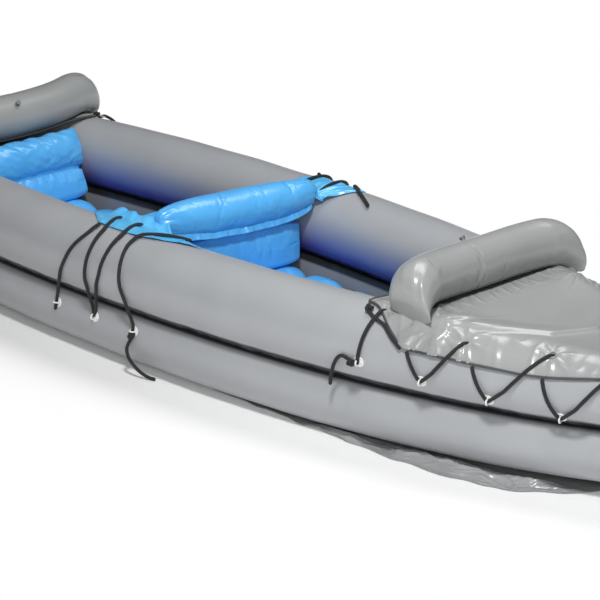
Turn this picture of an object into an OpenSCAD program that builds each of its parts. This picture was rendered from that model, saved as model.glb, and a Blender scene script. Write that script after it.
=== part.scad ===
// Inflatable two-person kayak: twin stacked side tubes, laced decks with splash tubes, laced-in seats.
// +X is the bow, +Y is port, +Z is up. The origin is on the ground under the middle of the hull.

/* [Hull] */
// Half-length of the side tube centrelines, from midships to where the sides meet
hull_half = 1690; // [1500:10:1900]
// Half-width of the side tube centrelines at midships
beam_half = 302; // [280:1:340]
// Fullness of the plan curve, higher is fuller at the ends
plan_power = 2.2; // [2:0.1:2.6]
// Radius of the upper side tubes at midships
upper_r = 98; // [90:1:106]
// Radius of the lower side tubes at midships
lower_r = 91; // [84:1:98]
// Height of the upper tube centre above the lower tube centre
tube_pitch = 138; // [126:1:150]
// Distance that the lower tubes sit inboard of the upper ones
lower_inset = 12; // [0:1:24]
// Share of the tube radius lost at the ends
end_taper = 0.35; // [0.2:0.05:0.45]
// Rise of the lower tubes at the ends
lower_rise = 40; // [20:5:50]
// Rise of the upper tubes at the ends
upper_rise = 10; // [0:2:30]
// Length of the rounded noses beyond the meeting of the sides
nose_l = 60; // [40:5:100]
// Thickness of the bottom skin
skin_t = 1.6; // [1:0.1:3]
// Distance of the bottom skin's tips from the meeting of the sides
skin_back = 240; // [200:10:300]
// Half-width of the bottom skin
skin_half_w = 298; // [280:2:330]

/* [Floor] */
// Thickness of the inflated floor at the crest of a rib
floor_t = 80; // [60:1:90]
// Depth of the welds between the floor ribs
rib_depth = 20; // [8:1:30]
// Number of lengthwise floor ribs
rib_count = 5; // [3:2:7]
// Gap between the floor and the lower tubes
floor_gap = 3; // [1:0.5:8]

/* [Decks] */
// Distance of the bow splash tube from the bow meeting of the sides
bow_arch_back = 710; // [640:5:780]
// Distance of the stern splash tube from the stern meeting of the sides
stern_arch_back = 945; // [880:5:990]
// Radius of the splash tubes
arch_r = 59; // [40:1:65]
// How far down the side tubes the splash tubes reach, in degrees from the crest
arch_reach = 27; // [20:1:32]
// How far the seams of the splash tubes sweep towards the tips of the craft
arch_sweep = 43; // [0:1:60]
// Width of the bow deck collar on the cockpit side of its splash tube
bow_collar = 97; // [90:1:120]
// Width of the stern deck collar on the cockpit side of its splash tube
stern_collar = 35; // [30:5:60]
// Distance of the deck tips from the meeting of the sides
deck_tip_back = 40; // [20:5:120]
// Thickness of the deck sheet
deck_t = 2.4; // [1.2:0.2:4]
// Angle inside the crest at which the bow deck leaves the side tubes, which gives its sag
bow_sag = 4; // [1:0.5:6]
// Angle inside the crest at which the stern deck leaves the side tubes
stern_sag = 8; // [1:0.5:10]
// How far down the side tubes the deck sheet reaches, in degrees from the crest
deck_reach = 68; // [50:1:75]

/* [Lacing] */
// Diameter of the lacing cord
cord_d = 8.5; // [5:0.5:9]
// Spacing of the lacing loops along the hull
loop_pitch = 154; // [120:1:180]
// First lacing loop on the cockpit side of the splash tube
loop_lead = 55; // [40:5:70]
// Height of the first lacing loops above the ground
loop_z = 217; // [200:1:225]
// Fall of the loop row for each metre towards the ends
loop_fall = 76; // [0:1:90]
// Radius of a lacing loop's base disc
loop_base_r = 11; // [10:0.5:18]
// Thickness of a lacing loop's base disc
loop_base_t = 2; // [1.5:0.1:4]
// Thickness of the rim of a lacing loop
loop_wire = 4; // [3:0.2:6]

/* [Seats] */
// Position of the front backrest hinge, ahead of midships
front_seat_x = 180; // [120:5:240]
// Distance of the rear backrest hinge ahead of the stern splash tube
rear_seat_gap = 145; // [130:5:185]
// Turn of the front backrest in plan, port side forward, as it is laced in
front_skew = 9; // [0:1:12]
// Recline of the rear backrest from upright
rear_recline = 22; // [12:1:24]
// Length of the seat cushions
seat_l = 450; // [380:5:470]
// Half-width of the front seat cushion
front_seat_half_w = 195; // [150:1:196]
// Half-width of the rear seat cushion
rear_seat_half_w = 150; // [130:1:154]
// Thickness of the seat cushions
seat_t = 70; // [50:1:74]
// Number of cross lobes in a seat cushion
seat_lobes = 3; // [2:1:4]
// Half-width of the front back panel
front_panel_half_w = 180; // [150:1:186]
// Half-width of the rear back panel
rear_panel_half_w = 146; // [130:1:150]
// Height of the front back panel above its hinge
front_panel_h = 97; // [60:1:110]
// Height of the rear back panel above its hinge
rear_panel_h = 62; // [56:1:70]
// Thickness of a back panel
panel_t = 42; // [30:1:50]
// Height of the front backrest roll
front_roll_h = 110; // [96:1:140]
// Height of the rear backrest roll
rear_roll_h = 110; // [90:1:130]
// Thickness of a backrest roll
roll_t = 96; // [70:1:100]
// Half-length of the front backrest roll
front_roll_half = 234; // [220:1:240]
// Half-length of the rear backrest roll
rear_roll_half = 158; // [140:1:160]
// Rise of the front roll where it meets the side tubes
roll_end_rise = 6; // [0:1:20]
// Half-length of a side flap along the tube
flap_half = 150; // [110:5:170]
// Thickness of a side flap
flap_t = 2.4; // [1.2:0.2:4]

/* [Fittings] */
// Angle of the side tube valves down from the tube crest
valve_angle = 100; // [95:1:104]
// Distance of the floor valve aft of midships
floor_valve_x = 30; // [0:5:60]
// Radius of a valve's welded flange
valve_flange_r = 26; // [22:1:30]
// Radius of a valve's neck
valve_neck_r = 15; // [12:0.5:18]
// Height of a valve's neck
valve_neck_h = 11; // [8:0.5:14]
// Radius of a valve cap
valve_cap_r = 20; // [18.5:0.5:22]
// Distance of the carry handles from the meeting of the sides
handle_back = 80; // [65:5:110]
// Half-width of a carry handle between its arms
handle_half_w = 26; // [22:1:32]
// Length of a carry handle's arms
handle_l = 66; // [50:1:70]
// Radius of a carry handle's bar and pins
handle_bar_r = 3; // [2.5:0.1:4]
// Radius of a carry handle's grip
handle_grip_r = 8; // [6.5:0.5:9]

/* [Clearances] */
// Gap between pieces that lie against each other
fit = 0.4; // [0.2:0.1:0.8]
// Gap under the deck sheets and side flaps
sheet_gap = 1.6; // [1.4:0.1:2.2]
// Half of the gap between the port and starboard tubes where they meet
mid_gap = 0.2; // [0.1:0.1:0.5]
// Radial clearance of a valve cap on its neck
cap_clear = 0.3; // [0.2:0.1:0.6]
// Radial clearance of the carry handle pins in their lugs
pin_clear = 0.1; // [0.05:0.05:0.2]

/* [Hidden] */

pvc_grey = [0.60, 0.61, 0.62];
deck_grey = [0.66, 0.67, 0.67];
floor_grey = [0.20, 0.21, 0.23];
seat_blue = [0.25, 0.60, 0.92];
cord_black = [0.06, 0.06, 0.07];
loop_white = [0.92, 0.92, 0.92];
fitting_black = [0.10, 0.10, 0.11];

skin_half = hull_half - skin_back;
bow_arch_x = hull_half - bow_arch_back;
stern_arch_x = hull_half - stern_arch_back;
deck_tip = hull_half - deck_tip_back;
handle_x = hull_half - handle_back;
rear_seat_x = stern_arch_x - rear_seat_gap;
cord_r = cord_d / 2;
cord_sides = 8;
lower_z0 = skin_t + fit + lower_r;
floor_top = skin_t + fit + floor_t;
seat_perch = 1 / (2 * seat_lobes);
seat_end = 10;
hinge_z = floor_top + fit + seat_t * round_end(seat_perch, seat_end) + fit + panel_t / 2;
front_roll_mid = front_panel_h + fit + front_roll_h / 2;
rear_roll_mid = rear_panel_h + fit + rear_roll_h / 2;

// Stations along the hull, with the rounded noses added at both ends
hull_steps = 30;
nose_steps = [0.5, 0.8, 0.97];
stations = concat(
  [for (k = [len(nose_steps) - 1 : -1 : 0]) -hull_half - nose_l * nose_steps[k]],
  [for (i = [0 : hull_steps]) hull_half * (2 * i / hull_steps - 1)],
  [for (k = nose_steps) hull_half + nose_l * k]
);

// Points of a tube section on each side of its flat web
arc_steps = 17;

function mix(a, b, k) = a + (b - a) * k;

// Plan and profile of the side tubes
function share(x) = min(1, abs(x) / hull_half);
function half_w(x) = beam_half * (1 - pow(share(x), plan_power));
function plan_slope(x) = beam_half * plan_power * pow(share(x), plan_power - 1) / hull_half;
function plan_turn(x) = sign(x) * atan(plan_slope(x));
function plan_stretch(x) = sqrt(1 + pow(plan_slope(x), 2));
function nose_k(x) = abs(x) <= hull_half ? 1 : sqrt(1 - pow((abs(x) - hull_half) / nose_l, 2));
function taper(x) = (1 - end_taper * pow(share(x), 4)) * nose_k(x);
function upper_rad(x) = upper_r * taper(x);
function lower_rad(x) = lower_r * taper(x);
function lower_z(x) = lower_z0 + lower_rise * pow(share(x), 10);
function upper_z(x) = lower_z0 + tube_pitch + upper_rise * pow(share(x), 10);
function lower_w(x) = max(0, half_w(x) - lower_inset * plan_stretch(x));

// Depth below the upper tube centre of the web that the two tubes share
function tube_gap(x) = upper_z(x) - lower_z(x);
function web_drop(x) =
  (pow(tube_gap(x), 2) + pow(upper_rad(x), 2) - pow(lower_rad(x), 2)) / (2 * tube_gap(x));
function web_angle(drop, r) = drop >= r * sin(85) ? 85 : asin(drop / r);
function upper_cut(x) = web_angle(web_drop(x) - fit / 2, upper_rad(x));
function lower_cut(x) = web_angle(tube_gap(x) - web_drop(x) - fit / 2, lower_rad(x));

function section_point(x, w, z, r, a) =
  [x, max(mid_gap, w + r * plan_stretch(x) * cos(a)), z + r * sin(a)];
function upper_ring(x) = [
  for (j = [0 : arc_steps])
    let (c = upper_cut(x))
    section_point(x, half_w(x), upper_z(x), upper_rad(x), -c + j * (180 + 2 * c) / arc_steps)
];
function lower_ring(x) = [
  for (j = [0 : arc_steps])
    let (c = lower_cut(x))
    section_point(x, lower_w(x), lower_z(x), lower_rad(x), 180 - c + j * (180 + 2 * c) / arc_steps)
];

// A point on the upper or lower port tube, at an angle from the crest and a height above the surface
function on_upper(x, a, lift) = [
  x + lift * sin(a) * sin(plan_turn(x)),
  half_w(x) + (upper_rad(x) * plan_stretch(x) + lift) * sin(a),
  upper_z(x) + (upper_rad(x) + lift) * cos(a)
];
function on_lower(x, a, lift) = [
  x + lift * sin(a) * sin(plan_turn(x)),
  lower_w(x) + (lower_rad(x) * plan_stretch(x) + lift) * sin(a),
  lower_z(x) + (lower_rad(x) + lift) * cos(a)
];

// A closed skin over rings of points, each ring turning right-handed about the direction of travel.
// With a fold, each run of that many points is split the same way on both sides of its middle.
module loft(rings, fold = 0) {
  n = len(rings[0]);
  m = len(rings);
  points = [for (ring = rings) for (p = ring) p];
  sides = [
    for (i = [0 : m - 2])
      for (j = [0 : n - 1])
        let (a = i * n + j, b = i * n + (j + 1) % n)
        for (t = fold > 0 && j % fold >= (fold - 1) / 2 ? [[a, a + n, b], [b, a + n, b + n]]
          : [[a, b + n, b], [a, a + n, b + n]]) t
  ];
  start = [for (j = [0 : n - 1]) j];
  end = [for (j = [n - 1 : -1 : 0]) (m - 1) * n + j];
  polyhedron(points, concat(sides, [start, end]), convexity = 6);
}

// A round cord along a list of points, its rings square to the route and carried on without twist
function unit(v) = v / norm(v);
function heading(p, i) = unit(p[min(i + 1, len(p) - 1)] - p[max(i - 1, 0)]);
function first_side(t) = abs(t[0]) < 0.8 ? unit(cross([1, 0, 0], t)) : unit(cross([0, 0, 1], t));
function carried(u, t) = unit(u - (u * t) * t);
function cord_sides_at(p, i, u) =
  i == len(p) ? []
    : let (v = carried(u, heading(p, i))) concat([v], cord_sides_at(p, i + 1, v));
function cord_ring(p, i, u) =
  let (v = cross(heading(p, i), u))
  [
    for (k = [0 : cord_sides - 1])
      let (q = 360 * k / cord_sides) p[i] + cord_r * (cos(q) * u + sin(q) * v)
  ];
module cord(p) {
  u = cord_sides_at(p, 0, first_side(heading(p, 0)));
  loft([for (i = [0 : len(p) - 1]) cord_ring(p, i, u[i])]);
}

module port_side(side) {
  if (side < 0) mirror([0, 1, 0]) children();
  else children();
}

// Side tubes
module upper_tube(side) {
  color(pvc_grey) port_side(side) loft([for (x = stations) upper_ring(x)]);
}
module lower_tube(side) {
  color(pvc_grey) port_side(side) loft([for (x = stations) lower_ring(x)]);
}
module starboard_upper_tube() { upper_tube(-1); }
module port_upper_tube() { upper_tube(1); }
module starboard_lower_tube() { lower_tube(-1); }
module port_lower_tube() { lower_tube(1); }

// Bottom skin, a flat sheet whose edge shows as a skirt under the ends of the lower tubes
skin_steps = 24;
function skin_y(x) = skin_half_w * pow(1 - pow(abs(x) / skin_half, 9), 0.6);
module bottom_skin() {
  xs = [for (i = [0 : skin_steps]) skin_half * sin(90 * (2 * i / skin_steps - 1))];
  edge = [for (x = xs) [x, skin_y(x)]];
  back = [for (i = [skin_steps - 1 : -1 : 1]) [xs[i], -skin_y(xs[i])]];
  color(floor_grey) linear_extrude(floor_top - floor_t - mid_gap / 4) polygon(concat(edge, back));
}

// Inflated floor with lengthwise ribs, cut to the space between the lower tubes
floor_steps = 22;
rib_steps = 4;
function floor_half_w(x) = lower_w(x) - lower_rad(x) * plan_stretch(x) - floor_gap;
function floor_end(lo, hi, n) =
  n == 0 ? lo : floor_half_w((lo + hi) / 2) > 2 * floor_gap
    ? floor_end((lo + hi) / 2, hi, n - 1) : floor_end(lo, (lo + hi) / 2, n - 1);
floor_half = floor_end(0, hull_half, 16);
function rib(v) = abs(sin(90 * rib_count * (v + 1)));
function floor_ring(x) =
  let (b = floor_half_w(x), e = min(1, (floor_half - abs(x)) / floor_t + 0.15), z0 = skin_t + fit)
  concat(
    [[x, -b, z0], [x, b, z0]],
    [
      for (j = [rib_count * rib_steps : -1 : 0])
        let (v = 2 * j / (rib_count * rib_steps) - 1)
        [x, b * v, z0 + (floor_t - rib_depth + rib_depth * rib(v)) * sqrt(e)]
    ]
  );
module inflatable_floor() {
  color(floor_grey)
    loft([for (i = [0 : floor_steps]) floor_ring(floor_half * sin(90 * (2 * i / floor_steps - 1)))]);
}

// Deck sheets, drawn over the side tubes and crowned between them
deck_arc = 5;
deck_span = 4;
corner_steps = 5;
rest_steps = 8;
corner_l = 170;
edge_start = 10;
tip_l = 350;
function ease(k) = let (c = max(0, min(1, k))) c * c * (3 - 2 * c);
function deck_edge(x, start) = min(
  edge_start + (deck_reach - edge_start) * ease((x - start) / corner_l),
  deck_reach - (deck_reach - 36) * ease((x - deck_tip + tip_l) / tip_l)
);
function deck_arc_point(x, off, a) =
  [half_w(x) + (upper_rad(x) + off) * plan_stretch(x) * sin(a), upper_z(x) + (upper_rad(x) + off) * cos(a)];
function deck_level(t, y, sag) = t[1] - t[0] * tan(sag) / 2 * (1 - pow(y / t[0], 2));
function deck_half(x, off, start, sag) = concat(
  [
    for (j = [0 : deck_arc])
      let (e = deck_edge(x, start))
      deck_arc_point(x, off, mix(e, -sag, j / deck_arc))
  ],
  [
    for (j = [1 : deck_span])
      let (t = deck_arc_point(x, off, -sag), y = t[0] * (1 - j / deck_span))
      [y, deck_level(t, y, sag)]
  ]
);
function deck_line(x, off, start, sag) =
  let (h = deck_half(x, off, start, sag), n = len(h))
  concat([for (p = h) [x, p[0], p[1]]], [for (j = [n - 2 : -1 : 0]) [x, -h[j][0], h[j][1]]]);
function reversed(v) = [for (j = [len(v) - 1 : -1 : 0]) v[j]];
function deck_ring(x, start, sag) =
  concat(deck_line(x, sheet_gap + deck_t, start, sag), reversed(deck_line(x, sheet_gap, start, sag)));
function deck_top(x, sag) = deck_level(deck_arc_point(x, sheet_gap + deck_t, -sag), 0, sag);
module deck(start, sag) {
  xs = concat(
    [for (i = [0 : corner_steps - 1]) start + corner_l * i / corner_steps],
    [for (i = [0 : rest_steps]) mix(start + corner_l, deck_tip, i / rest_steps)]
  );
  color(deck_grey) loft([for (x = xs) deck_ring(x, start, sag)], 2 * (deck_arc + deck_span) + 1);
}
bow_deck_start = bow_arch_x - bow_collar;
stern_deck_start = stern_arch_x - stern_collar;
module at_stern() {
  mirror([1, 0, 0]) children();
}
module bow_deck() { deck(bow_deck_start, bow_sag); }
module stern_deck() { at_stern() deck(stern_deck_start, stern_sag); }

// Splash tubes, lying across the decks: round in the middle, flattened to a seam at each end
arch_steps = 26;
arch_sides = 16;
arch_round = 0.68;
seam_share = 0.06;
seam_lift = 6;
deck_off = sheet_gap + deck_t;
function arch_thick(s) =
  let (u = max(0, (abs(s) - arch_round) / (1 - arch_round)))
  seam_share + (1 - seam_share) * sqrt(1 - pow(u, 4));
function arch_mid(x, s) = x + arch_sweep * pow(s, 4);
function arch_run(x, s, sag) =
  let (t = deck_arc_point(x, deck_off, -sag))
  abs(s) * (t[0] + (upper_rad(x) + deck_off) * (arch_reach + sag) * PI / 180);
function arch_angle(x, s, sag) =
  let (t = deck_arc_point(x, deck_off, -sag), l = arch_run(x, s, sag))
  l <= t[0] ? -sag * l / t[0] : (l - t[0]) / (upper_rad(x) + deck_off) * 180 / PI - sag;
function arch_foot(x, s, sag) =
  let (t = deck_arc_point(x, deck_off, -sag), l = arch_run(x, s, sag))
  l <= t[0] ? [l, deck_level(t, l, sag)] : deck_arc_point(x, deck_off, arch_angle(x, s, sag));
function arch_ring(x0, s, sag) =
  let (x = arch_mid(x0, s), a = arch_angle(x, s, sag), f = arch_foot(x, s, sag), b = arch_r * arch_thick(s))
  let (h = b + 2 * fit + seam_lift * (1 - arch_thick(s)))
  [
    for (k = [0 : arch_sides - 1])
      let (q = 360 * k / arch_sides, n = h + b * cos(q))
      [x + arch_r * sin(q), (s < 0 ? -1 : 1) * (f[0] + n * sin(a)), f[1] + n * cos(a)]
  ];
module splash_tube(x, sag) {
  color(pvc_grey) loft([for (i = [0 : arch_steps]) arch_ring(x, sin(90 * (2 * i / arch_steps - 1)), sag)]);
}
module bow_splash_tube() { splash_tube(bow_arch_x, bow_sag); }
module stern_splash_tube() { at_stern() splash_tube(stern_arch_x, stern_sag); }

// Lacing loops, welded discs with a bridge that the cord passes under
loop_rim = cord_r + fit + loop_wire / 2;
loop_leg = cord_r + fit;
loop_seat = 0.2;
cord_lift = loop_base_t + cord_r + fit / 2;
module lacing_loop(turn = 0) {
  cylinder(h = loop_base_t, r = loop_base_r, $fn = 32);
  translate([0, 0, loop_base_t - fit / 2]) rotate([0, 0, turn]) {
    for (s = [-1, 1]) translate([0, s * loop_rim, 0]) cylinder(h = loop_leg, d = loop_wire, $fn = 16);
    translate([0, 0, loop_leg])
      rotate([90, 0, 90])
        rotate_extrude(angle = 180, $fn = 32)
          translate([loop_rim, 0])
            circle(d = loop_wire, $fn = 16);
  }
}
module on_tube(p, x, a) {
  translate(p) rotate([0, 0, -plan_turn(x)]) rotate([-a, 0, 0]) children();
}
function loop_x(arch, i) = arch - loop_lead + i * loop_pitch;
function loop_height(x) = loop_z - loop_fall * max(0, x - bow_arch_x + loop_lead) / 1000;
function loop_angle(x) =
  acos(max(loop_height(x) - upper_z(x), upper_rad(x) * cos(loop_lowest)) / upper_rad(x));
loop_lowest = 126;
bow_loops = 5;
stern_loops = 6;
module hull_loops(arch, count) {
  color(loop_white)
    for (side = [-1, 1])
      port_side(side)
        for (i = [0 : count - 1])
          let (x = loop_x(arch, i), a = loop_angle(x))
            on_tube(on_upper(x, a, -loop_seat), x, a) lacing_loop();
}
module bow_hull_loops() { hull_loops(bow_arch_x, bow_loops); }
module stern_hull_loops() { at_stern() hull_loops(stern_arch_x, stern_loops); }

// Deck lacing. Each run comes from under the deck edge, through a loop, and up to a hole in the deck.
// Holes as distance ahead of their loop and angle from the crest, chosen by hand
deck_holes = [[14, 20], [84, 40], [114, 30], [112, 31], [90, 30], [70, 30]];
edge_lead = 34;
cord_step = 13;
rest_gap = 0.8;
deck_lift = sheet_gap + deck_t + cord_r + rest_gap;
// A run over the upper tube between two stations, each a distance, an angle and a height
function pieces(q0, q1) = max(1, ceil(abs(q1[1] - q0[1]) / cord_step));
function tube_run(route) = [
  for (i = [0 : len(route) - 2])
    let (n = pieces(route[i], route[i + 1]))
    for (k = [0 : i == len(route) - 2 ? n : n - 1])
      let (q = mix(route[i], route[i + 1], k / n))
      on_upper(q[0], q[1], q[2])
];
function lacing_v(arch, start, i) =
  let (x = loop_x(arch, i), a = loop_angle(x), xe = x - edge_lead, hole = deck_holes[i])
  let (from = [xe, deck_edge(xe, start) + 3, cord_lift], through = [x, a, cord_lift])
  let (to = [x + hole[0], hole[1], deck_lift])
  tube_run(i == 0 ? [through, to] : [from, through, to]);
// The first run crosses the corner of the deck before it reaches the second loop
function corner_run(start) = tube_run([
  for (q = [[22, 27], [50, 36], [83, 42], [115, 50], [141, 62]])
    [start + q[0], max(q[1], deck_edge(start + q[0], start) + 3), cord_lift]
]);
module lacing(arch, start, count) {
  color(cord_black) {
    cord(corner_run(start));
    for (i = [0 : count - 1]) cord(lacing_v(arch, start, i));
  }
}
module bow_lacing(side) { port_side(side) lacing(bow_arch_x, bow_deck_start, bow_loops - 1); }
module stern_lacing(side) {
  at_stern() port_side(side) lacing(stern_arch_x, stern_deck_start, stern_loops - 1);
}
module bow_lacing_starboard() { bow_lacing(-1); }
module bow_lacing_port() { bow_lacing(1); }
module stern_lacing_starboard() { stern_lacing(-1); }
module stern_lacing_port() { stern_lacing(1); }

// Loose tail of the starboard bow lacing: back from the first loop, over in a bow, then straight down.
// Places as distance ahead of the loop and angle from the crest, chosen by hand
tail_bow = [
  [-11, 99.5], [-20, 97.5], [-28, 95.4], [-35, 94], [-42, 94.2], [-49, 96.5], [-55, 100.5], [-60, 105.5],
  [-64, 110.5], [-67, 115], [-69, 119], [-71, 122], [-72, 124.5], [-73, 126.5], [-73, 128]
];
function hang_lift(x, a) =
  let (r = upper_rad(x) * plan_stretch(x), reach = r + cord_r + rest_gap)
  (a < 95 ? reach : reach / sin(max(a, 90))) - r;
module lacing_tail() {
  color(cord_black) port_side(-1)
    cord([for (q = tail_bow) let (x = loop_x(bow_arch_x, 0) + q[0]) on_upper(x, q[1], hang_lift(x, q[1]))]);
}

// Seat cushions, crowned, drawn in at the sides and parted into cross lobes
seat_steps = 24;
seat_arc = 12;
function round_end(u, k) = pow(1 - pow(abs(2 * u - 1), k), 1 / 2);
function lobe(u, n) = 1 - 0.34 * pow(abs(cos(180 * n * u)), 6);
function seat_ring(u, half_width, hinge_x) =
  let (e = max(0.12, round_end(u, seat_end)), k = e * lobe(u, seat_lobes))
  let (room = floor_half_w(hinge_x + seat_l * (u - seat_perch)) - fit)
  let (h = seat_t * k, b = min(room, half_width) * (0.93 + 0.07 * k))
  [
    for (j = [0 : seat_arc])
      let (a = 180 * j / seat_arc, c = cos(a))
      [u * seat_l, b * sign(c) * pow(abs(c), 0.42), h * pow(sin(a), 0.42)]
  ];
module seat_cushion(half_width, hinge_x) {
  color(seat_blue)
    translate(seat_place(hinge_x))
      loft([for (i = [0 : seat_steps]) seat_ring(i / seat_steps, half_width, hinge_x)]);
}
// The hinge of each backrest stands over the crest of the first lobe
function seat_place(hinge_x) = [hinge_x - seat_l * seat_perch, 0, floor_top + fit];
module front_seat_cushion() { seat_cushion(front_seat_half_w, front_seat_x); }
module rear_seat_cushion() { seat_cushion(rear_seat_half_w, -rear_seat_x); }

// Backrests, in their own frame: hinge along Y at the origin, up the back along Z, faces towards +X
module front_back_frame() {
  translate([front_seat_x, 0, hinge_z]) rotate([0, 0, -front_skew]) children();
}
module rear_back_frame() {
  translate([-rear_seat_x, 0, hinge_z]) rotate([0, -rear_recline, 0]) children();
}
panel_steps = 12;
function panel_ring(v, half_width, panel_h) =
  let (e = 0.35 + 0.65 * sqrt(1 - pow(abs(v), 6)), r = panel_t / 2 * e)
  concat(
    [for (j = [0 : 6]) let (a = 90 + 30 * j) [r * sin(a), half_width * v, r * cos(a)]],
    [
      for (j = [0 : 4])
        let (k = j / 4)
        [-r * (1 - 0.3 * k), half_width * v, panel_h * (0.35 + 0.65 * k) * (1 - 0.12 * pow(v, 4))]
    ],
    [
      for (j = [4 : -1 : 0])
        let (k = j / 4)
        [r * (1 - 0.3 * k), half_width * v, panel_h * (0.35 + 0.65 * k) * (1 - 0.12 * pow(v, 4))]
    ]
  );
module back_panel(half_width, panel_h) {
  color(seat_blue)
    loft([for (i = [0 : panel_steps]) panel_ring(sin(90 * (2 * i / panel_steps - 1)), half_width, panel_h)]);
}
module front_back_panel() { front_back_frame() back_panel(front_panel_half_w, front_panel_h); }
module rear_back_panel() { rear_back_frame() back_panel(rear_panel_half_w, rear_panel_h); }

// Backrest rolls: the front one gathered at both ends, the rear one flattened to an upright seam
roll_steps = 24;
roll_sides = 16;
function gathered(v) = (1 - 0.28 * pow(v, 2)) * (0.18 + 0.82 * sqrt(1 - pow(abs(v), 7)));
function roll_thick(v, welded) = welded ? 0.08 + 0.92 * sqrt(1 - pow(abs(v), 5)) : gathered(v);
function roll_tall(v, welded) = welded ? 0.88 + 0.12 * sqrt(1 - pow(abs(v), 12)) : gathered(v);
function roll_ring(v, half_length, mid, roll_h, rise, welded) =
  let (pleat = welded ? 0 : 0.10 * pow(abs(v), 8), a = roll_thick(v, welded), b = roll_tall(v, welded))
  [
    for (k = [0 : roll_sides - 1])
      let (q = 360 * k / roll_sides, f = 1 + pleat * cos(4 * q))
      [roll_t / 2 * a * f * sin(q), half_length * v, mid + rise * pow(v, 2) + roll_h / 2 * b * f * cos(q)]
  ];
module back_roll(half_length, mid, roll_h, rise, welded) {
  vs = [for (i = [0 : roll_steps]) sin(90 * (2 * i / roll_steps - 1))];
  color(seat_blue) loft([for (v = vs) roll_ring(v, half_length, mid, roll_h, rise, welded)]);
}
module front_back_roll() {
  front_back_frame() back_roll(front_roll_half, front_roll_mid, front_roll_h, roll_end_rise, false);
}
module rear_back_roll() {
  rear_back_frame() back_roll(rear_roll_half, rear_roll_mid, rear_roll_h, 0, true);
}

// Side flaps of the front backrest, gathered beside the roll and spread over the tube crests
flap_inner = -40;
flap_outer = 13;
flap_rows = 6;
flap_cols = 8;
function flap_x(side) = front_seat_x + side * beam_half * sin(front_skew);
function flap_len(k) = flap_half * (0.4 + 0.6 * ease(k / 0.6) - 0.3 * pow(k, 4));
function flap_point(x0, k, j, lift) =
  let (x = x0 + flap_len(k) * (2 * j / flap_cols - 1))
  on_upper(x, mix(flap_inner, flap_outer, k), lift);
function flap_row(x0, k) = concat(
  [for (j = [0 : flap_cols]) flap_point(x0, k, j, sheet_gap + flap_t)],
  [for (j = [flap_cols : -1 : 0]) flap_point(x0, k, j, sheet_gap)]
);
module side_flap(side) {
  color(seat_blue)
    port_side(side)
      loft([for (i = [0 : flap_rows]) flap_row(flap_x(side), i / flap_rows)]);
}
module front_flap_starboard() { side_flap(-1); }
module front_flap_port() { side_flap(1); }

// Lashings of the front backrest, from the flaps over the upper tubes to loops on the lower tubes.
// Routes as distance ahead of the backrest hinge and angle from the crest of the upper tube, chosen by hand
tie_loop_x = [for (d = [-240, -96, 46]) front_seat_x + d];
tie_loop_angle = 77;
aft_run = [[-124, 18], [-135, 38], [-160, 62], [-178, 84], [-196, 101]];
mid_run_aft = [[-136, -25], [-112, 0], [-94, 25], [-96, 54], [-98, 81], [-101, 101]];
mid_run_fore = [[-60, -25], [-42, 0], [-31, 24], [-39, 55], [-47, 86], [-60, 102]];
fore_run = [[112, -24], [65, -8], [14, 12], [8, 33], [20, 65], [30, 95]];
flap_lift = sheet_gap + flap_t + cord_r + rest_gap;
flap_end = 30;
module seat_tie_loops() {
  color(loop_white)
    for (side = [-1, 1])
      port_side(side)
        for (i = [0 : 2])
          let (x = tie_loop_x[i])
            on_tube(on_lower(x, tie_loop_angle, -loop_seat / 4), x, tie_loop_angle)
              lacing_loop(i == 1 ? 0 : 90);
}
// On the port side the flap sits further forward, so the runs lean back to the same loops
function lean(side, a) = (flap_x(side) - flap_x(-1)) * max(0, min(1, (100 - a) / 120));
function tie_points(run, side) =
  tube_run([
    for (q = run)
      [front_seat_x + q[0] + lean(side, q[1]), q[1], q[1] < flap_end ? flap_lift : cord_r + rest_gap]
  ]);
function tie_end(i, down) = on_lower(tie_loop_x[i], tie_loop_angle + down, cord_lift);
module lashing(side) {
  color(cord_black) port_side(side) {
    cord(concat(tie_points(aft_run, side), [tie_end(0, -9), tie_end(0, 9)]));
    cord(concat(
      tie_points(mid_run_aft, side),
      [tie_end(1, -10) - [cord_r + fit, 0, 0], tie_end(1, 0), tie_end(1, -10) + [cord_r + fit, 0, 0]],
      reversed(tie_points(mid_run_fore, side))
    ));
    cord(concat(tie_points(fore_run, side), [tie_end(2, -9), tie_end(2, 9)]));
  }
}
module front_lashing_starboard() { lashing(-1); }
module front_lashing_port() { lashing(1); }

// Loose tail of the starboard lashing, hanging to the ground and along it.
// Places as distance ahead of the tie loop, distance outboard of the tube and height, chosen by hand
tail_run = [
  [-0.5, 6.1, 98], [-2, 7.4, 94], [-4.5, 9.2, 89], [-6.5, 10.7, 84.5], [-8, 12, 79.5], [-10, 13.7, 71],
  [-9, 13.7, 61], [-6, 12.7, 51], [0, 10.7, 41], [8, 7.7, 31], [17, 3.7, 22], [27, -1.3, 13.5],
  [37, -6.3, 8], [47, -10.3, 5], [57, -13.3, 4.5]
];
tail_x = tie_loop_x[2];
tail_side = lower_w(tail_x) + lower_rad(tail_x) * plan_stretch(tail_x);
tail_route = [for (q = tail_run) [tail_x + q[0], -tail_side - q[1], max(q[2], cord_r + fit / 2)]];
module lashing_tail() { color(cord_black) cord(tail_route); }

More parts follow.
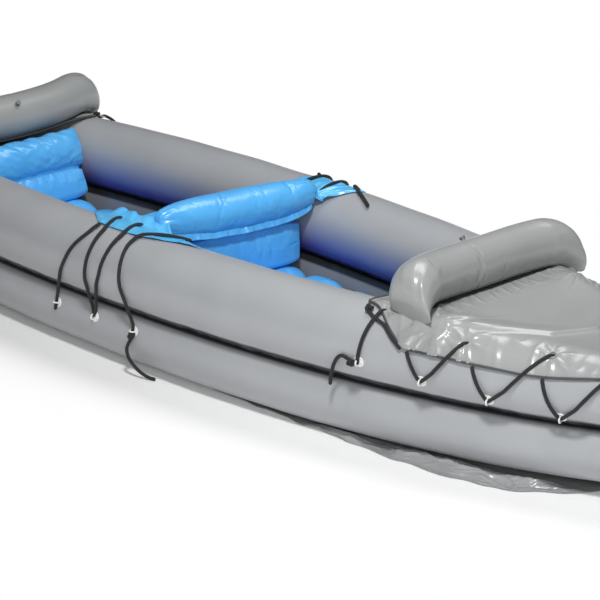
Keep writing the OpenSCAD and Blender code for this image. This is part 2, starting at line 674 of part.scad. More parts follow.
// Screw valves: a welded flange with a threaded neck, and a ribbed cap that turns on it
flange_t = 3;
valve_x = loop_x(stern_arch_x, 4) + loop_pitch / 2;
cap_wall = 2.6;
cap_ribs = 14;
module valve_body(seat_r) {
  sag = seat_r > 0 ? seat_r - sqrt(pow(seat_r, 2) - pow(valve_flange_r, 2)) : 0;
  color(fitting_black) difference() {
    union() {
      translate([0, 0, -sag]) cylinder(h = flange_t + sag, r = valve_flange_r, $fn = 48);
      cylinder(h = flange_t + valve_neck_h, r = valve_neck_r, $fn = 48);
    }
    translate([0, 0, flange_t]) cylinder(h = valve_neck_h + 1, r = valve_neck_r - 3, $fn = 48);
    if (seat_r > 0)
      translate([0, 0, -seat_r])
        rotate([0, 90, 0])
          cylinder(h = 4 * valve_flange_r, r = seat_r + fit, center = true, $fn = 96);
  }
}
module valve_cap() {
  base = flange_t + fit;
  tall = valve_neck_h + cap_wall;
  color(fitting_black) translate([0, 0, base]) difference() {
    union() {
      cylinder(h = tall, r = valve_cap_r - 1, $fn = 48);
      for (k = [0 : cap_ribs - 1])
        rotate(360 * k / cap_ribs)
          translate([valve_cap_r - 1.4, 0, 0])
            cylinder(h = tall - 1, r = 1.4, $fn = 16);
    }
    translate([0, 0, -1])
      cylinder(h = valve_neck_h - fit + 1 + cap_clear, r = valve_neck_r + cap_clear, $fn = 48);
  }
}
module side_valve_frame(side) {
  port_side(side) on_tube(on_upper(-valve_x, valve_angle, 0), -valve_x, valve_angle) children();
}
module floor_valve_frame() {
  translate([-floor_valve_x, 0, floor_top + fit]) children();
}
module starboard_valve_body() { side_valve_frame(-1) valve_body(upper_rad(valve_x)); }
module starboard_valve_cap() { side_valve_frame(-1) valve_cap(); }
module port_valve_body() { side_valve_frame(1) valve_body(upper_rad(valve_x)); }
module port_valve_cap() { side_valve_frame(1) valve_cap(); }
module floor_valve_body() { floor_valve_frame() valve_body(0); }
module floor_valve_cap() { floor_valve_frame() valve_cap(); }

// Mouth valves: a short stem with a push-in plug
stem_r = 5;
stem_h = 9;
plug_r = 7;
plug_h = 4;
module mouth_valve() {
  translate([0, 0, fit]) {
    cylinder(h = stem_h, r = stem_r, $fn = 24);
    translate([0, 0, stem_h - fit]) cylinder(h = plug_h, r = plug_r, $fn = 24);
  }
}
arch_valve_turn = 360 * 2 / arch_sides;
module arch_valve(x, sag) {
  translate([x, 0, deck_top(x, sag) + arch_r + 2 * fit])
    rotate([0, -arch_valve_turn, 0])
      translate([0, 0, arch_r])
        mouth_valve();
}
module splash_tube_valves() {
  color(fitting_black) {
    arch_valve(bow_arch_x, bow_sag);
    at_stern() arch_valve(stern_arch_x, stern_sag);
  }
}
// Each seat valve stands on a point of the skin that carries it
back_valve_v = sin(90 * 6 / roll_steps);
back_valve_k = roll_sides * 3 / 4;
module back_valve(ring) {
  color(fitting_black) translate(ring[back_valve_k]) rotate([0, -90, 0]) mouth_valve();
}
module front_back_valve() {
  front_back_frame()
    back_valve(roll_ring(back_valve_v, front_roll_half, front_roll_mid, front_roll_h, roll_end_rise, false));
}
module rear_back_valve() {
  rear_back_frame() back_valve(roll_ring(back_valve_v, rear_roll_half, rear_roll_mid, rear_roll_h, 0, true));
}
cushion_valve_u = 20 / seat_steps;
cushion_valve_j = 5;
module cushion_valve(hinge_x, half_width) {
  translate(seat_place(hinge_x) + seat_ring(cushion_valve_u, half_width, hinge_x)[cushion_valve_j])
    mouth_valve();
}
module cushion_valves() {
  color(fitting_black) {
    cushion_valve(front_seat_x, front_seat_half_w);
    cushion_valve(-rear_seat_x, rear_seat_half_w);
  }
}

// Carry handles: a plate with two lugs on the deck tip, and a bail with a grip that lies towards the cockpit
plate_t = 3;
lug_t = 8;
lug_r = 7;
bail_z = 13;
plate_margin = 6;
bend_r = 2.4 * handle_bar_r;
lug_in = handle_half_w + bend_r + 2 * fit;
plate_back = handle_x - lug_r - 2 * plate_margin;
plate_z = upper_z(plate_back) + upper_rad(plate_back) + sheet_gap + deck_t + fit;
module handle_frame() {
  translate([handle_x, 0, plate_z]) children();
}
module handle_base() {
  half_y = lug_in + lug_t + plate_margin;
  color(fitting_black) handle_frame() difference() {
    union() {
      hull()
        for (sx = [-1, 1])
          for (sy = [-1, 1])
            translate([sx * (lug_r + plate_margin), sy * half_y, 0])
              cylinder(h = plate_t, r = plate_margin, $fn = 32);
      for (s = [-1, 1])
        translate([0, s * (lug_in + lug_t / 2), 0]) {
          translate([-lug_r, -lug_t / 2, 0]) cube([2 * lug_r, lug_t, bail_z]);
          translate([0, 0, bail_z])
            rotate([90, 0, 0])
              cylinder(h = lug_t, r = lug_r, center = true, $fn = 32);
        }
    }
    translate([0, 0, bail_z])
      rotate([90, 0, 0])
        cylinder(h = 4 * half_y, r = handle_bar_r + pin_clear, center = true, $fn = 32);
  }
}
// The bail is one bent rod: pin, bend, arm, bend, bar, and the same back
module rod(length) { cylinder(h = length, r = handle_bar_r, $fn = 32); }
module rod_bend() {
  rotate_extrude(angle = 90, $fn = 48) translate([bend_r, 0]) circle(r = handle_bar_r, $fn = 32);
}
module handle_bail() {
  color(fitting_black) handle_frame() translate([0, 0, bail_z])
    for (side = [-1, 1])
      port_side(side) {
        translate([0, handle_half_w + bend_r, 0])
          rotate([-90, 0, 0])
            rod(lug_in + lug_t - handle_half_w - bend_r);
        translate([-bend_r, handle_half_w + bend_r, 0]) rotate([0, 0, -90]) rod_bend();
        translate([-bend_r, handle_half_w, 0]) rotate([0, -90, 0]) rod(handle_l - 2 * bend_r);
        translate([bend_r - handle_l, handle_half_w - bend_r, 0]) rotate([0, 0, 90]) rod_bend();
        translate([-handle_l, 0, 0]) rotate([-90, 0, 0]) rod(handle_half_w - bend_r);
      }
}
module handle_grip() {
  length = 2 * (handle_half_w - bend_r) - 2 * fit;
  color(fitting_black) handle_frame()
    translate([-handle_l, 0, bail_z])
      rotate([90, 0, 0])
        difference() {
          cylinder(h = length, r = handle_grip_r, center = true, $fn = 32);
          cylinder(h = 2 * length, r = handle_bar_r + pin_clear, center = true, $fn = 32);
        }
}
module bow_handle_base() { handle_base(); }
module bow_handle_bail() { handle_bail(); }
module bow_handle_grip() { handle_grip(); }
module stern_handle_base() { at_stern() handle_base(); }
module stern_handle_bail() { at_stern() handle_bail(); }
module stern_handle_grip() { at_stern() handle_grip(); }

starboard_upper_tube();
port_upper_tube();
starboard_lower_tube();
port_lower_tube();
bottom_skin();
inflatable_floor();
bow_deck();
stern_deck();
bow_splash_tube();
stern_splash_tube();
bow_hull_loops();
stern_hull_loops();
seat_tie_loops();
bow_lacing_starboard();
bow_lacing_port();
stern_lacing_starboard();
stern_lacing_port();
front_seat_cushion();
front_back_panel();
front_back_roll();
lacing_tail();
front_flap_starboard();
front_flap_port();
front_lashing_starboard();
front_lashing_port();
lashing_tail();
rear_seat_cushion();
rear_back_panel();
rear_back_roll();
starboard_valve_body();
starboard_valve_cap();
port_valve_body();
port_valve_cap();
floor_valve_body();
floor_valve_cap();
splash_tube_valves();
front_back_valve();
rear_back_valve();
cushion_valves();
bow_handle_base();
bow_handle_bail();
bow_handle_grip();
stern_handle_base();
stern_handle_bail();
stern_handle_grip();
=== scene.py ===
"""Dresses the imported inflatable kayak: film tubes, laced decks, blown-up seats, cords and a plain studio."""
import logging
import math
from dataclasses import dataclass
from enum import Enum
from typing import Callable, Iterable, Sequence, Union

import bmesh
import bpy
import numpy as np
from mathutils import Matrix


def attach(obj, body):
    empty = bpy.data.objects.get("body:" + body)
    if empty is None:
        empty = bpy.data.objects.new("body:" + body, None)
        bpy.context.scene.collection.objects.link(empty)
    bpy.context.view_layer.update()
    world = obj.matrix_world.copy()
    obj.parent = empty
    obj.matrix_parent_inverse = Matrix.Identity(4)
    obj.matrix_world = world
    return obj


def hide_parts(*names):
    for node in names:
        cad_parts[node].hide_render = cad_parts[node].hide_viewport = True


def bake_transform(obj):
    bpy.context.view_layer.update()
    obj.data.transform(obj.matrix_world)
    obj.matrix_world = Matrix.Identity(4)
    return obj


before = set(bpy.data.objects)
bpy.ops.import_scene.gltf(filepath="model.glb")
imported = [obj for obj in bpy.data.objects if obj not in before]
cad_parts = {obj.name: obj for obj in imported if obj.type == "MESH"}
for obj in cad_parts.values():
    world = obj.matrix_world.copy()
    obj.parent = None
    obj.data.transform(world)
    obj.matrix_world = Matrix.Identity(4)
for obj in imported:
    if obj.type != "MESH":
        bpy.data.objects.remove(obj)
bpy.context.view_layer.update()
LOG = logging.getLogger("kayak")

Array = np.ndarray
Rgb = tuple[float, float, float]
Mesh = bpy.types.Object
Feed = Union["Value", bpy.types.NodeSocket, float, int, tuple, str, bpy.types.Material]

UP = np.array([0.0, 0.0, 1.0])
AHEAD = np.array([1.0, 0.0, 0.0])
CORD_RADIUS = 0.00425
# Near-black colour of painted shade: the groove between the upper and lower tubes, and the cockpit sides of the lower
# tubes.
PAINTED_SHADE_COLOUR: Rgb = (0.016, 0.017, 0.020)


class Named(Enum):
    """A choice that node names spell out."""

    @property
    def word(self) -> str:
        """The choice as node names spell it."""
        return self.name.lower()


class Side(Named):
    """The two sides of the craft."""

    STARBOARD = -1
    PORT = 1


class End(Named):
    """The two ends of the craft."""

    BOW = 1
    STERN = -1

    @property
    def flip(self) -> Array:
        """Factors that turn bow places into places at this end."""
        return np.array([float(self.value), 1.0, 1.0])


def ease(low: float, high: float, value: Array) -> Array:
    """A smooth step from 0 at low to 1 at high."""
    t = np.clip((np.asarray(value, float) - low) / (high - low), 0.0, 1.0)
    return t * t * (3 - 2 * t)


def stacked(*parts: Array | float) -> Array:
    """Points from their coordinates, which are spread over one shape."""
    return np.stack(np.broadcast_arrays(*parts), -1)


def slack(amount: float) -> float:
    """How much slimmer a skin is cut, for the cloth to fill out."""
    return amount


class Ripple:
    """Smooth, repeatable waviness: a seeded sum of sine waves."""

    def __init__(self, seed: int, wavelength: float, dims: int = 2, waves: int = 16) -> None:
        """Draws the waves.

        Args:
            seed: Fixes the pattern.
            wavelength: Typical length of a wave, in the units of the coordinates.
            dims: Number of coordinates.
            waves: Number of waves that are added up.
        """
        rng = np.random.default_rng(seed)
        ways = rng.normal(size=(waves, dims))
        ways /= np.linalg.norm(ways, axis=1, keepdims=True)
        self.ways = ways * (2 * np.pi / (wavelength * rng.uniform(0.65, 1.6, (waves, 1))))
        self.phases = rng.uniform(0, 2 * np.pi, waves)

    def turns(self, *coords: Array) -> list[Array]:
        """The phase of each wave at the coordinates."""
        return [sum(w * c for w, c in zip(way, coords)) + phase for way, phase in zip(self.ways, self.phases)]

    def __call__(self, *coords: Array) -> Array:
        """The height at the coordinates, mostly between -1 and 1."""
        return sum(np.sin(turn) for turn in self.turns(*coords)) / math.sqrt(len(self.phases))

    def ridge(self, *coords: Array) -> Array:
        """Sharp crests between 0 and 1, as in creased film."""
        return np.clip(1.0 - np.abs(self(*coords)) * 1.5, 0.0, 1.0)

    def facets(self, *coords: Array) -> Array:
        """Flat faces with sharp edges between them, from 0 to about 2, as in folded film."""
        total = sum(np.arcsin(np.sin(turn)) * 2 / np.pi for turn in self.turns(*coords))
        return np.maximum(0.0, 1 + total / math.sqrt(len(self.phases)))


@dataclass(frozen=True)
class HullForm:
    """Plan, profile and sections of the side tubes, in metres."""

    half: float = 1.690
    beam: float = 0.302
    power: float = 2.2
    upper_r: float = 0.098
    lower_r: float = 0.091
    pitch: float = 0.138
    inset: float = 0.012
    end_taper: float = 0.35
    lower_rise: float = 0.040
    upper_rise: float = 0.010
    nose: float = 0.060
    base_z: float = 0.093
    mid_gap: float = 0.0002

    def share(self, x: Array) -> Array:
        """Distance from midships as a share of the half-length."""
        return np.minimum(1.0, np.abs(x) / self.half)

    def half_w(self, x: Array) -> Array:
        """Half-width of the upper tube centrelines."""
        return self.beam * (1 - self.share(x) ** self.power)

    def slope(self, x: Array) -> Array:
        """Slope of the plan curve."""
        return self.beam * self.power * self.share(x) ** (self.power - 1) / self.half

    def stretch(self, x: Array) -> Array:
        """How much wider a cross section is than the tube itself."""
        return np.sqrt(1 + self.slope(x) ** 2)

    def turn(self, x: Array) -> Array:
        """Plan angle of the tubes, in radians."""
        return np.sign(x) * np.arctan(self.slope(x))

    def taper(self, x: Array) -> Array:
        """Share of the midships radius that is left."""
        beyond = np.clip((np.abs(x) - self.half) / self.nose, 0.0, 1.0)
        return (1 - self.end_taper * self.share(x) ** 4) * np.sqrt(1 - beyond**2)

    def upper_rad(self, x: Array) -> Array:
        """Radius of the upper tubes."""
        return self.upper_r * self.taper(x)

    def lower_rad(self, x: Array) -> Array:
        """Radius of the lower tubes."""
        return self.lower_r * self.taper(x)

    def lower_z(self, x: Array) -> Array:
        """Height of the lower tube centre."""
        return self.base_z + self.lower_rise * self.share(x) ** 10

    def upper_z(self, x: Array) -> Array:
        """Height of the upper tube centre."""
        return self.base_z + self.pitch + self.upper_rise * self.share(x) ** 10

    def lower_w(self, x: Array) -> Array:
        """Half-width of the lower tube centrelines."""
        return np.maximum(0.0, self.half_w(x) - self.inset * self.stretch(x))

    def inner_w(self, x: Array) -> Array:
        """Half-width of the space between the lower tubes."""
        return self.lower_w(x) - self.lower_rad(x) * self.stretch(x)

    def cuts(self, x: Array) -> tuple[Array, Array]:
        """Angles below the horizontal at which the upper and lower tubes meet their web, in radians."""
        gap = self.upper_z(x) - self.lower_z(x)
        upper, lower = np.maximum(self.upper_rad(x), 1e-6), np.maximum(self.lower_rad(x), 1e-6)
        drop = (gap**2 + upper**2 - lower**2) / (2 * gap)
        most = math.sin(math.radians(85))
        return np.arcsin(np.clip(drop / upper, 0, most)), np.arcsin(np.clip((gap - drop) / lower, 0, most))

    def on_tube(self, upper: bool, x: Array, a: Array, lift: Array) -> Array:
        """Points on a port tube.

        Args:
            upper: Whether the upper tube is meant.
            x: Distances ahead of midships.
            a: Angles from the crest, outboard, in radians.
            lift: Heights above the film.

        Returns:
            The points, one row each.
        """
        x, a, lift = np.broadcast_arrays(np.asarray(x, float), np.asarray(a, float), np.asarray(lift, float))
        if upper:
            width, radius, level = self.half_w(x), self.upper_rad(x), self.upper_z(x)
        else:
            width, radius, level = self.lower_w(x), self.lower_rad(x), self.lower_z(x)
        return stacked(
            x + lift * np.sin(a) * np.sin(self.turn(x)),
            width + (radius * self.stretch(x) + lift) * np.sin(a),
            level + (radius + lift) * np.cos(a),
        )

    def on_upper(self, x: Array, a: Array, lift: Array = 0.0) -> Array:
        """Points on the port upper tube, as on_tube gives them."""
        return self.on_tube(True, x, a, lift)

    def on_lower(self, x: Array, a: Array, lift: Array = 0.0) -> Array:
        """Points on the port lower tube, as on_tube gives them."""
        return self.on_tube(False, x, a, lift)

    def outward(self, x: float, a: float) -> Array:
        """Unit normal of a port tube at an angle from the crest."""
        turn = float(self.turn(x))
        return np.array([math.sin(a) * math.sin(turn), math.sin(a) * math.cos(turn), math.cos(a)])


HULL = HullForm()


def mirrored(points: Array, side: Side) -> Array:
    """Port points, or their mirror image on the starboard side."""
    return points * np.array([1.0, float(side.value), 1.0])


def joined_grid(rows: int, columns: int, wrap: bool) -> Array:
    """Quads of a grid of points, row by row, with its last column joined to the first if it wraps."""
    i, j = np.meshgrid(np.arange(rows - 1), np.arange(columns if wrap else columns - 1), indexing="ij")
    after = (j + 1) % columns
    here, beyond = i * columns, (i + 1) * columns
    return np.stack([here + j, here + after, beyond + after, beyond + j], -1).reshape(-1, 4)


def linked(name: str, data: bpy.types.ID) -> bpy.types.Object:
    """A new object in the scene."""
    made = bpy.data.objects.new(name, data)
    bpy.context.scene.collection.objects.link(made)
    return made


def evaluated(piece: Mesh) -> bpy.types.Mesh:
    """A plain mesh of a piece with its modifiers."""
    graph = bpy.context.evaluated_depsgraph_get()
    return bpy.data.meshes.new_from_object(piece.evaluated_get(graph), depsgraph=graph)


def plain_mesh(name: str, points: Array, faces: list, uv: Array | None = None, **values: Array) -> Mesh:
    """A smooth mesh object at the origin.

    Args:
        name: Name of the piece.
        points: Vertex places in the row frame.
        faces: Vertex numbers of each face.
        uv: A texture place for each vertex.
        **values: Numbers for each vertex, kept as attributes that the finishes read.

    Returns:
        The object, with its faces pointing outwards.
    """
    mesh = bpy.data.meshes.new(name)
    mesh.from_pydata(np.asarray(points, float).reshape(-1, 3).tolist(), [], [list(map(int, f)) for f in faces])
    for key, value in values.items():
        layer = mesh.attributes.new(key, "FLOAT", "POINT")
        layer.data.foreach_set("value", np.asarray(value, np.float32).ravel())
    if uv is not None:
        layer = mesh.uv_layers.new(name="UVMap")
        corners = np.empty(len(mesh.loops), np.int32)
        mesh.loops.foreach_get("vertex_index", corners)
        layer.data.foreach_set("uv", np.asarray(uv, np.float32).reshape(-1, 2)[corners].ravel())
    work = bmesh.new()
    work.from_mesh(mesh)
    bmesh.ops.recalc_face_normals(work, faces=work.faces)
    work.to_mesh(mesh)
    work.free()
    mesh.shade_smooth()
    return linked(name, mesh)


def ring_skin(name: str, rings: Array, uv: Array | None = None, **values: Array) -> Mesh:
    """A closed skin over rings of points, its ends zipped shut across the middle."""
    rows, columns = rings.shape[:2]
    faces = joined_grid(rows, columns, True).tolist()
    for start in (0, (rows - 1) * columns):
        for k in range(columns // 2):
            loop = [k, k + 1, (columns - k - 1) % columns, (columns - k) % columns]
            faces.append([start + c for c in dict.fromkeys(loop)])
    return plain_mesh(name, rings, [f for f in faces if len(set(f)) > 2], uv, **values)


def grid_normals(points: Array) -> Array:
    """Unit normals of a grid of points."""
    normal = np.cross(np.gradient(points, axis=0), np.gradient(points, axis=1))
    return normal / np.maximum(np.linalg.norm(normal, axis=-1, keepdims=True), 1e-9)


def sheet_skin(name: str, outer: Array, thick: float, way: Array, **values: Array) -> Mesh:
    """A sheet of film with its thickness.

    Args:
        name: Name of the piece.
        outer: Grid of points on its outer face.
        thick: Thickness of the film.
        way: A direction that the outer face looks towards, for all points or each of them.
        **values: Numbers for each point of the outer face.

    Returns:
        The closed sheet.
    """
    normal = grid_normals(outer)
    normal = normal * np.sign(np.sum(normal * way, axis=-1, keepdims=True) + 1e-12)
    inner = outer - normal * thick
    rows, columns = outer.shape[:2]
    count = rows * columns
    face = joined_grid(rows, columns, False)
    rim = np.concatenate(
        [
            np.arange(columns),
            np.arange(1, rows) * columns + columns - 1,
            (rows - 1) * columns + np.arange(columns - 2, -1, -1),
            np.arange(rows - 2, 0, -1) * columns,
        ]
    )
    after = np.roll(rim, -1)
    edge = np.stack([rim, after, after + count, rim + count], -1)
    faces = np.concatenate([face, face[:, ::-1] + count, edge]).tolist()
    both = {key: np.concatenate([np.ravel(v), np.ravel(v)]) for key, v in values.items()}
    return plain_mesh(name, np.concatenate([outer.reshape(-1, 3), inner.reshape(-1, 3)]), faces, None, **both)


def steps(points: Array, axis: int = 0) -> Array:
    """Distances between neighbouring points."""
    return np.linalg.norm(np.diff(points, axis=axis), axis=-1)


def resampled(points: Array, step: float) -> Array:
    """Points along a route at even distances."""
    points = np.asarray(points, float)
    along = np.concatenate([[0], np.cumsum(steps(points))])
    count = max(3, int(round(along[-1] / step)) + 1)
    at = np.linspace(0, along[-1], count)
    return np.stack([np.interp(at, along, points[:, k]) for k in range(points.shape[1])], -1)


def softened(points: Array, passes: int) -> Array:
    """A route with its corners rounded, its ends kept."""
    points = np.array(points, float)
    for _ in range(passes):
        points[1:-1] = 0.25 * points[:-2] + 0.5 * points[1:-1] + 0.25 * points[2:]
    return points


def swept(points: Array, radius: Array | float, sides: int = 12) -> tuple[Array, Array]:
    """Rings of a round cord along a route, carried on without twist.

    Args:
        points: The route.
        radius: Radius of the cord, for all points or each of them.
        sides: Points in a ring.

    Returns:
        The rings and their texture places: turns round the cord, and metres along it.
    """
    points = np.asarray(points, float)
    heading = np.gradient(points, axis=0)
    heading /= np.linalg.norm(heading, axis=1, keepdims=True)
    aside = np.cross(heading[0], [0.0, 0.0, 1.0] if abs(heading[0][2]) < 0.8 else [1.0, 0.0, 0.0])
    sideways = []
    for way in heading:
        aside = aside - way * (aside @ way)
        aside /= np.linalg.norm(aside)
        sideways.append(aside)
    sideways = np.array(sideways)
    up = np.cross(heading, sideways)
    angle = np.arange(sides) * 2 * np.pi / sides
    reach = np.broadcast_to(np.asarray(radius, float), (len(points),))[:, None, None]
    rings = points[:, None] + reach * (
        np.cos(angle)[None, :, None] * sideways[:, None] + np.sin(angle)[None, :, None] * up[:, None]
    )
    along = np.concatenate([[0], np.cumsum(steps(points))])
    turns = 1 - np.abs(2 * np.arange(sides) / sides - 1)
    uv = stacked(turns[None, :], along[:, None])
    return rings, uv


def cord_mesh(name: str, routes: Iterable[Array], radius: float, sides: int = 12) -> Mesh:
    """One mesh of round cords with domed ends."""
    points, faces, uvs, start = [], [], [], 0
    for route in routes:
        route = np.asarray(route, float)
        first = route[0] - route[1]
        last = route[-1] - route[-2]
        domes = [0.35, 0.75, 0.95]
        head = [route[0] + first / np.linalg.norm(first) * radius * d for d in domes]
        tail = [route[-1] + last / np.linalg.norm(last) * radius * d for d in domes]
        caps = [math.sqrt(1 - d * d) for d in domes]
        full = np.concatenate([head[::-1], route, tail])
        widths = np.array(caps[::-1] + [1.0] * len(route) + caps) * radius
        rings, uv = swept(full, widths, sides)
        rows = len(full)
        faces += (joined_grid(rows, sides, True) + start).tolist()
        faces.append([start + k for k in range(sides)])
        faces.append([start + (rows - 1) * sides + k for k in range(sides)])
        points.append(rings.reshape(-1, 3))
        uvs.append(uv.reshape(-1, 2))
        start += rows * sides
    return plain_mesh(name, np.concatenate(points), faces, np.concatenate(uvs))


class Graph:
    """A node tree that is being built."""

    def __init__(self, tree: bpy.types.NodeTree) -> None:
        """Takes over a node tree."""
        self.tree = tree

    def node(self, kind: str, settings: dict | None = None, inputs: dict | None = None) -> bpy.types.Node:
        """Adds a node.

        Args:
            kind: Its type name.
            settings: Its own settings, such as an operation, set first.
            inputs: Values or links for its sockets, by name or number.

        Returns:
            The node.
        """
        made = self.tree.nodes.new(kind)
        for key, value in (settings or {}).items():
            setattr(made, key, value)
        for key, value in (inputs or {}).items():
            self.feed(made.inputs[key], value)
        return made

    def feed(self, socket: bpy.types.NodeSocket, value: Feed) -> None:
        """Links a value to a socket, or sets it there."""
        if isinstance(value, Value):
            value = value.socket
        if isinstance(value, bpy.types.NodeSocket):
            self.tree.links.new(value, socket)
        else:
            socket.default_value = value

    def value(
        self, kind: str, settings: dict | None = None, inputs: dict | None = None, out: int | str = 0
    ) -> "Value":
        """Adds a node and wraps one of its outputs."""
        return Value(self, self.node(kind, settings, inputs).outputs[out])

    def noise(self, place: Feed, scale: float, detail: float = 2.0, distortion: float = 0.0) -> "Value":
        """Cloudy noise between 0 and 1."""
        return self.value(
            "ShaderNodeTexNoise",
            {"noise_dimensions": "3D"},
            {"Vector": place, "Scale": scale, "Detail": detail, "Distortion": distortion},
        )

    def place(self) -> bpy.types.NodeSocket:
        """Places on the object."""
        return self.node("ShaderNodeTexCoord").outputs["Object"]

    def attribute(self, name: str) -> "Value":
        """A number that the mesh carries."""
        return self.value("ShaderNodeAttribute", {"attribute_name": name}, out="Fac")

    def mixed(self, share: Feed, first: Feed, second: Feed) -> bpy.types.NodeSocket:
        """A colour between two colours."""
        mix = self.node("ShaderNodeMix", {"data_type": "RGBA"})
        self.feed(mix.inputs["Factor"], share)
        for socket, value in zip((mix.inputs[6], mix.inputs[7]), (first, second)):
            self.feed(socket, (*value, 1.0) if isinstance(value, tuple) and len(value) == 3 else value)
        return mix.outputs[2]

    def bump(self, height: Feed, strength: float = 1.0) -> bpy.types.NodeSocket:
        """A normal from a height in metres."""
        return self.node(
            "ShaderNodeBump", None, {"Height": height, "Strength": strength, "Distance": 1.0}
        ).outputs["Normal"]


def operator(operation: str, reflected: bool = False) -> Callable:
    """A method that adds a Math node with two terms.

    Args:
        operation: The node's operation.
        reflected: Whether a plain number comes first.

    Returns:
        The method.
    """

    def apply(self: "Value", other: Feed) -> "Value":
        """Adds the node."""
        return self.math(operation, other, self) if reflected else self.math(operation, self, other)

    return apply


class Value:
    """A number in a node tree. Python's operators on it add Math nodes."""

    __add__ = operator("ADD")
    __radd__ = operator("ADD", True)
    __sub__ = operator("SUBTRACT")
    __rsub__ = operator("SUBTRACT", True)
    __mul__ = operator("MULTIPLY")
    __rmul__ = operator("MULTIPLY", True)
    __pow__ = operator("POWER")

    def __init__(self, graph: Graph, socket: bpy.types.NodeSocket) -> None:
        """Wraps a socket of a graph."""
        self.graph = graph
        self.socket = socket

    def math(self, operation: str, *terms: Feed, clamp: bool = False) -> "Value":
        """Adds a Math node."""
        return self.graph.value(
            "ShaderNodeMath", {"operation": operation, "use_clamp": clamp}, dict(enumerate(terms))
        )

    def __abs__(self) -> "Value":
        """Size without sign."""
        return self.math("ABSOLUTE", self)

    def sin(self) -> "Value":
        """Sine of an angle in radians."""
        return self.math("SINE", self)

    def clip(self) -> "Value":
        """Held between 0 and 1."""
        return self.math("ADD", self, 0.0, clamp=True)

    def between(self, low: float, high: float) -> "Value":
        """A smooth step from 0 at low to 1 at high."""
        return self.graph.value(
            "ShaderNodeMapRange", {"interpolation_type": "SMOOTHSTEP"}, {0: self, 1: low, 2: high, 3: 0.0, 4: 1.0}
        )


def blank_finish(name: str) -> tuple[bpy.types.Material, Graph, bpy.types.Node]:
    """A new material, its graph and its shader."""
    material = bpy.data.materials.new(name)
    material.use_nodes = True
    shader = next(n for n in material.node_tree.nodes if n.type == "BSDF_PRINCIPLED")
    return material, Graph(material.node_tree), shader


@dataclass(frozen=True)
class FilmFinish:
    """Welded plastic film: a satin skin with fine grain, soft dents and crinkles where it puckers."""

    name: str
    colour: Rgb
    soiled: Rgb
    roughness: float
    coat: float = 0.15
    grain: float = 0.000004
    dents: float = 0.0005
    crinkle: float = 0.0020
    # Colour of a painted reflection of the blue seats with painted shade, for films that carry it.
    tint: Rgb | None = None

    def make(self) -> bpy.types.Material:
        """Builds the material."""
        material, graph, shader = blank_finish(self.name)
        place = graph.place()
        clouds = graph.noise(place, 6.0, 4.0)
        dents = graph.noise(place, 17.0, 1.0, 0.4)
        grain = graph.noise(place, 900.0, 2.0)
        scuffs = graph.noise(place, 70.0, 6.0, 1.2).between(0.56, 0.74)
        pucker = graph.attribute("pucker").clip()
        facets = graph.value(
            "ShaderNodeTexVoronoi",
            {"feature": "F1"},
            {"Vector": place, "Scale": 24.0, "Randomness": 1.0},
            "Distance",
        )
        creases = 1.0 - abs(graph.noise(place, 13.0, 1.0, 0.9) * 2.0 - 1.0)
        fine = 1.0 - abs(graph.noise(place, 31.0, 0.0, 0.6) * 2.0 - 1.0)
        colour = graph.mixed(clouds.between(0.30, 0.75), self.colour, self.soiled)
        # A dark blue painted reflection of the seats, with painted shade, where the mesh asks for it.
        if self.tint is not None:
            colour = graph.mixed(graph.attribute("tint").clip(), colour, self.tint)
            # Near-black painted shade in the groove between the tubes and on the cockpit sides of the lower tubes.
            colour = graph.mixed(graph.attribute("dark").clip(), colour, PAINTED_SHADE_COLOUR)
        graph.feed(shader.inputs["Base Color"], colour)
        rough = self.roughness + 0.10 * (clouds - 0.5) + 0.02 * scuffs - 0.06 * pucker
        graph.feed(shader.inputs["Roughness"], rough)
        crumple = (creases * creases + fine * 0.35 + facets * 0.4) * ((pucker - 0.15) * 1.18).clip()
        height = dents * self.dents + grain * self.grain + crumple * self.crinkle
        graph.feed(shader.inputs["Normal"], graph.bump(height))
        shader.inputs["Coat Weight"].default_value = self.coat
        shader.inputs["Coat Roughness"].default_value = 0.16
        shader.inputs["Specular IOR Level"].default_value = 0.5
        return material


@dataclass(frozen=True)
class CordFinish:
    """Braided synthetic cord."""

    name: str
    colour: Rgb
    worn: Rgb
    radius: float
    strands: int = 8

    def make(self) -> bpy.types.Material:
        """Builds the material."""
        material, graph, shader = blank_finish(self.name)
        coords = graph.node("ShaderNodeTexCoord")
        split = graph.node("ShaderNodeSeparateXYZ", None, {0: coords.outputs["UV"]})
        around = Value(graph, split.outputs["X"]) * (math.pi * self.strands)
        along = Value(graph, split.outputs["Y"]) * (2 * math.pi / (self.radius * 3.2))
        braid = abs((around + along).sin()) * abs((around - along).sin())
        fuzz = graph.noise(coords.outputs["Object"], 260.0, 3.0)
        worn = (braid * 0.7 + fuzz * 0.3).clip()
        graph.feed(shader.inputs["Base Color"], graph.mixed(worn, self.colour, self.worn))
        graph.feed(shader.inputs["Roughness"], 0.62 + 0.18 * fuzz)
        graph.feed(shader.inputs["Normal"], graph.bump(braid * 0.0005 + fuzz * 0.00012))
        shader.inputs["Sheen Weight"].default_value = 0.05
        return material


@dataclass(frozen=True)
class PlasticFinish:
    """Moulded plastic with a fine spark texture and handling marks."""

    name: str
    colour: Rgb
    worn: Rgb
    roughness: float

    def make(self) -> bpy.types.Material:
        """Builds the material."""
        material, graph, shader = blank_finish(self.name)
        place = graph.place()
        clouds = graph.noise(place, 60.0, 3.0)
        spark = graph.noise(place, 1500.0, 2.0)
        marks = graph.noise(place, 140.0, 6.0, 2.0).between(0.58, 0.72)
        worn = (clouds * 0.6 + marks * 0.4).clip()
        graph.feed(shader.inputs["Base Color"], graph.mixed(worn, self.colour, self.worn))
        graph.feed(shader.inputs["Roughness"], self.roughness + 0.14 * (clouds - 0.5) + 0.14 * marks)
        graph.feed(shader.inputs["Normal"], graph.bump(spark * 0.00003 + marks * 0.00004))
        return material


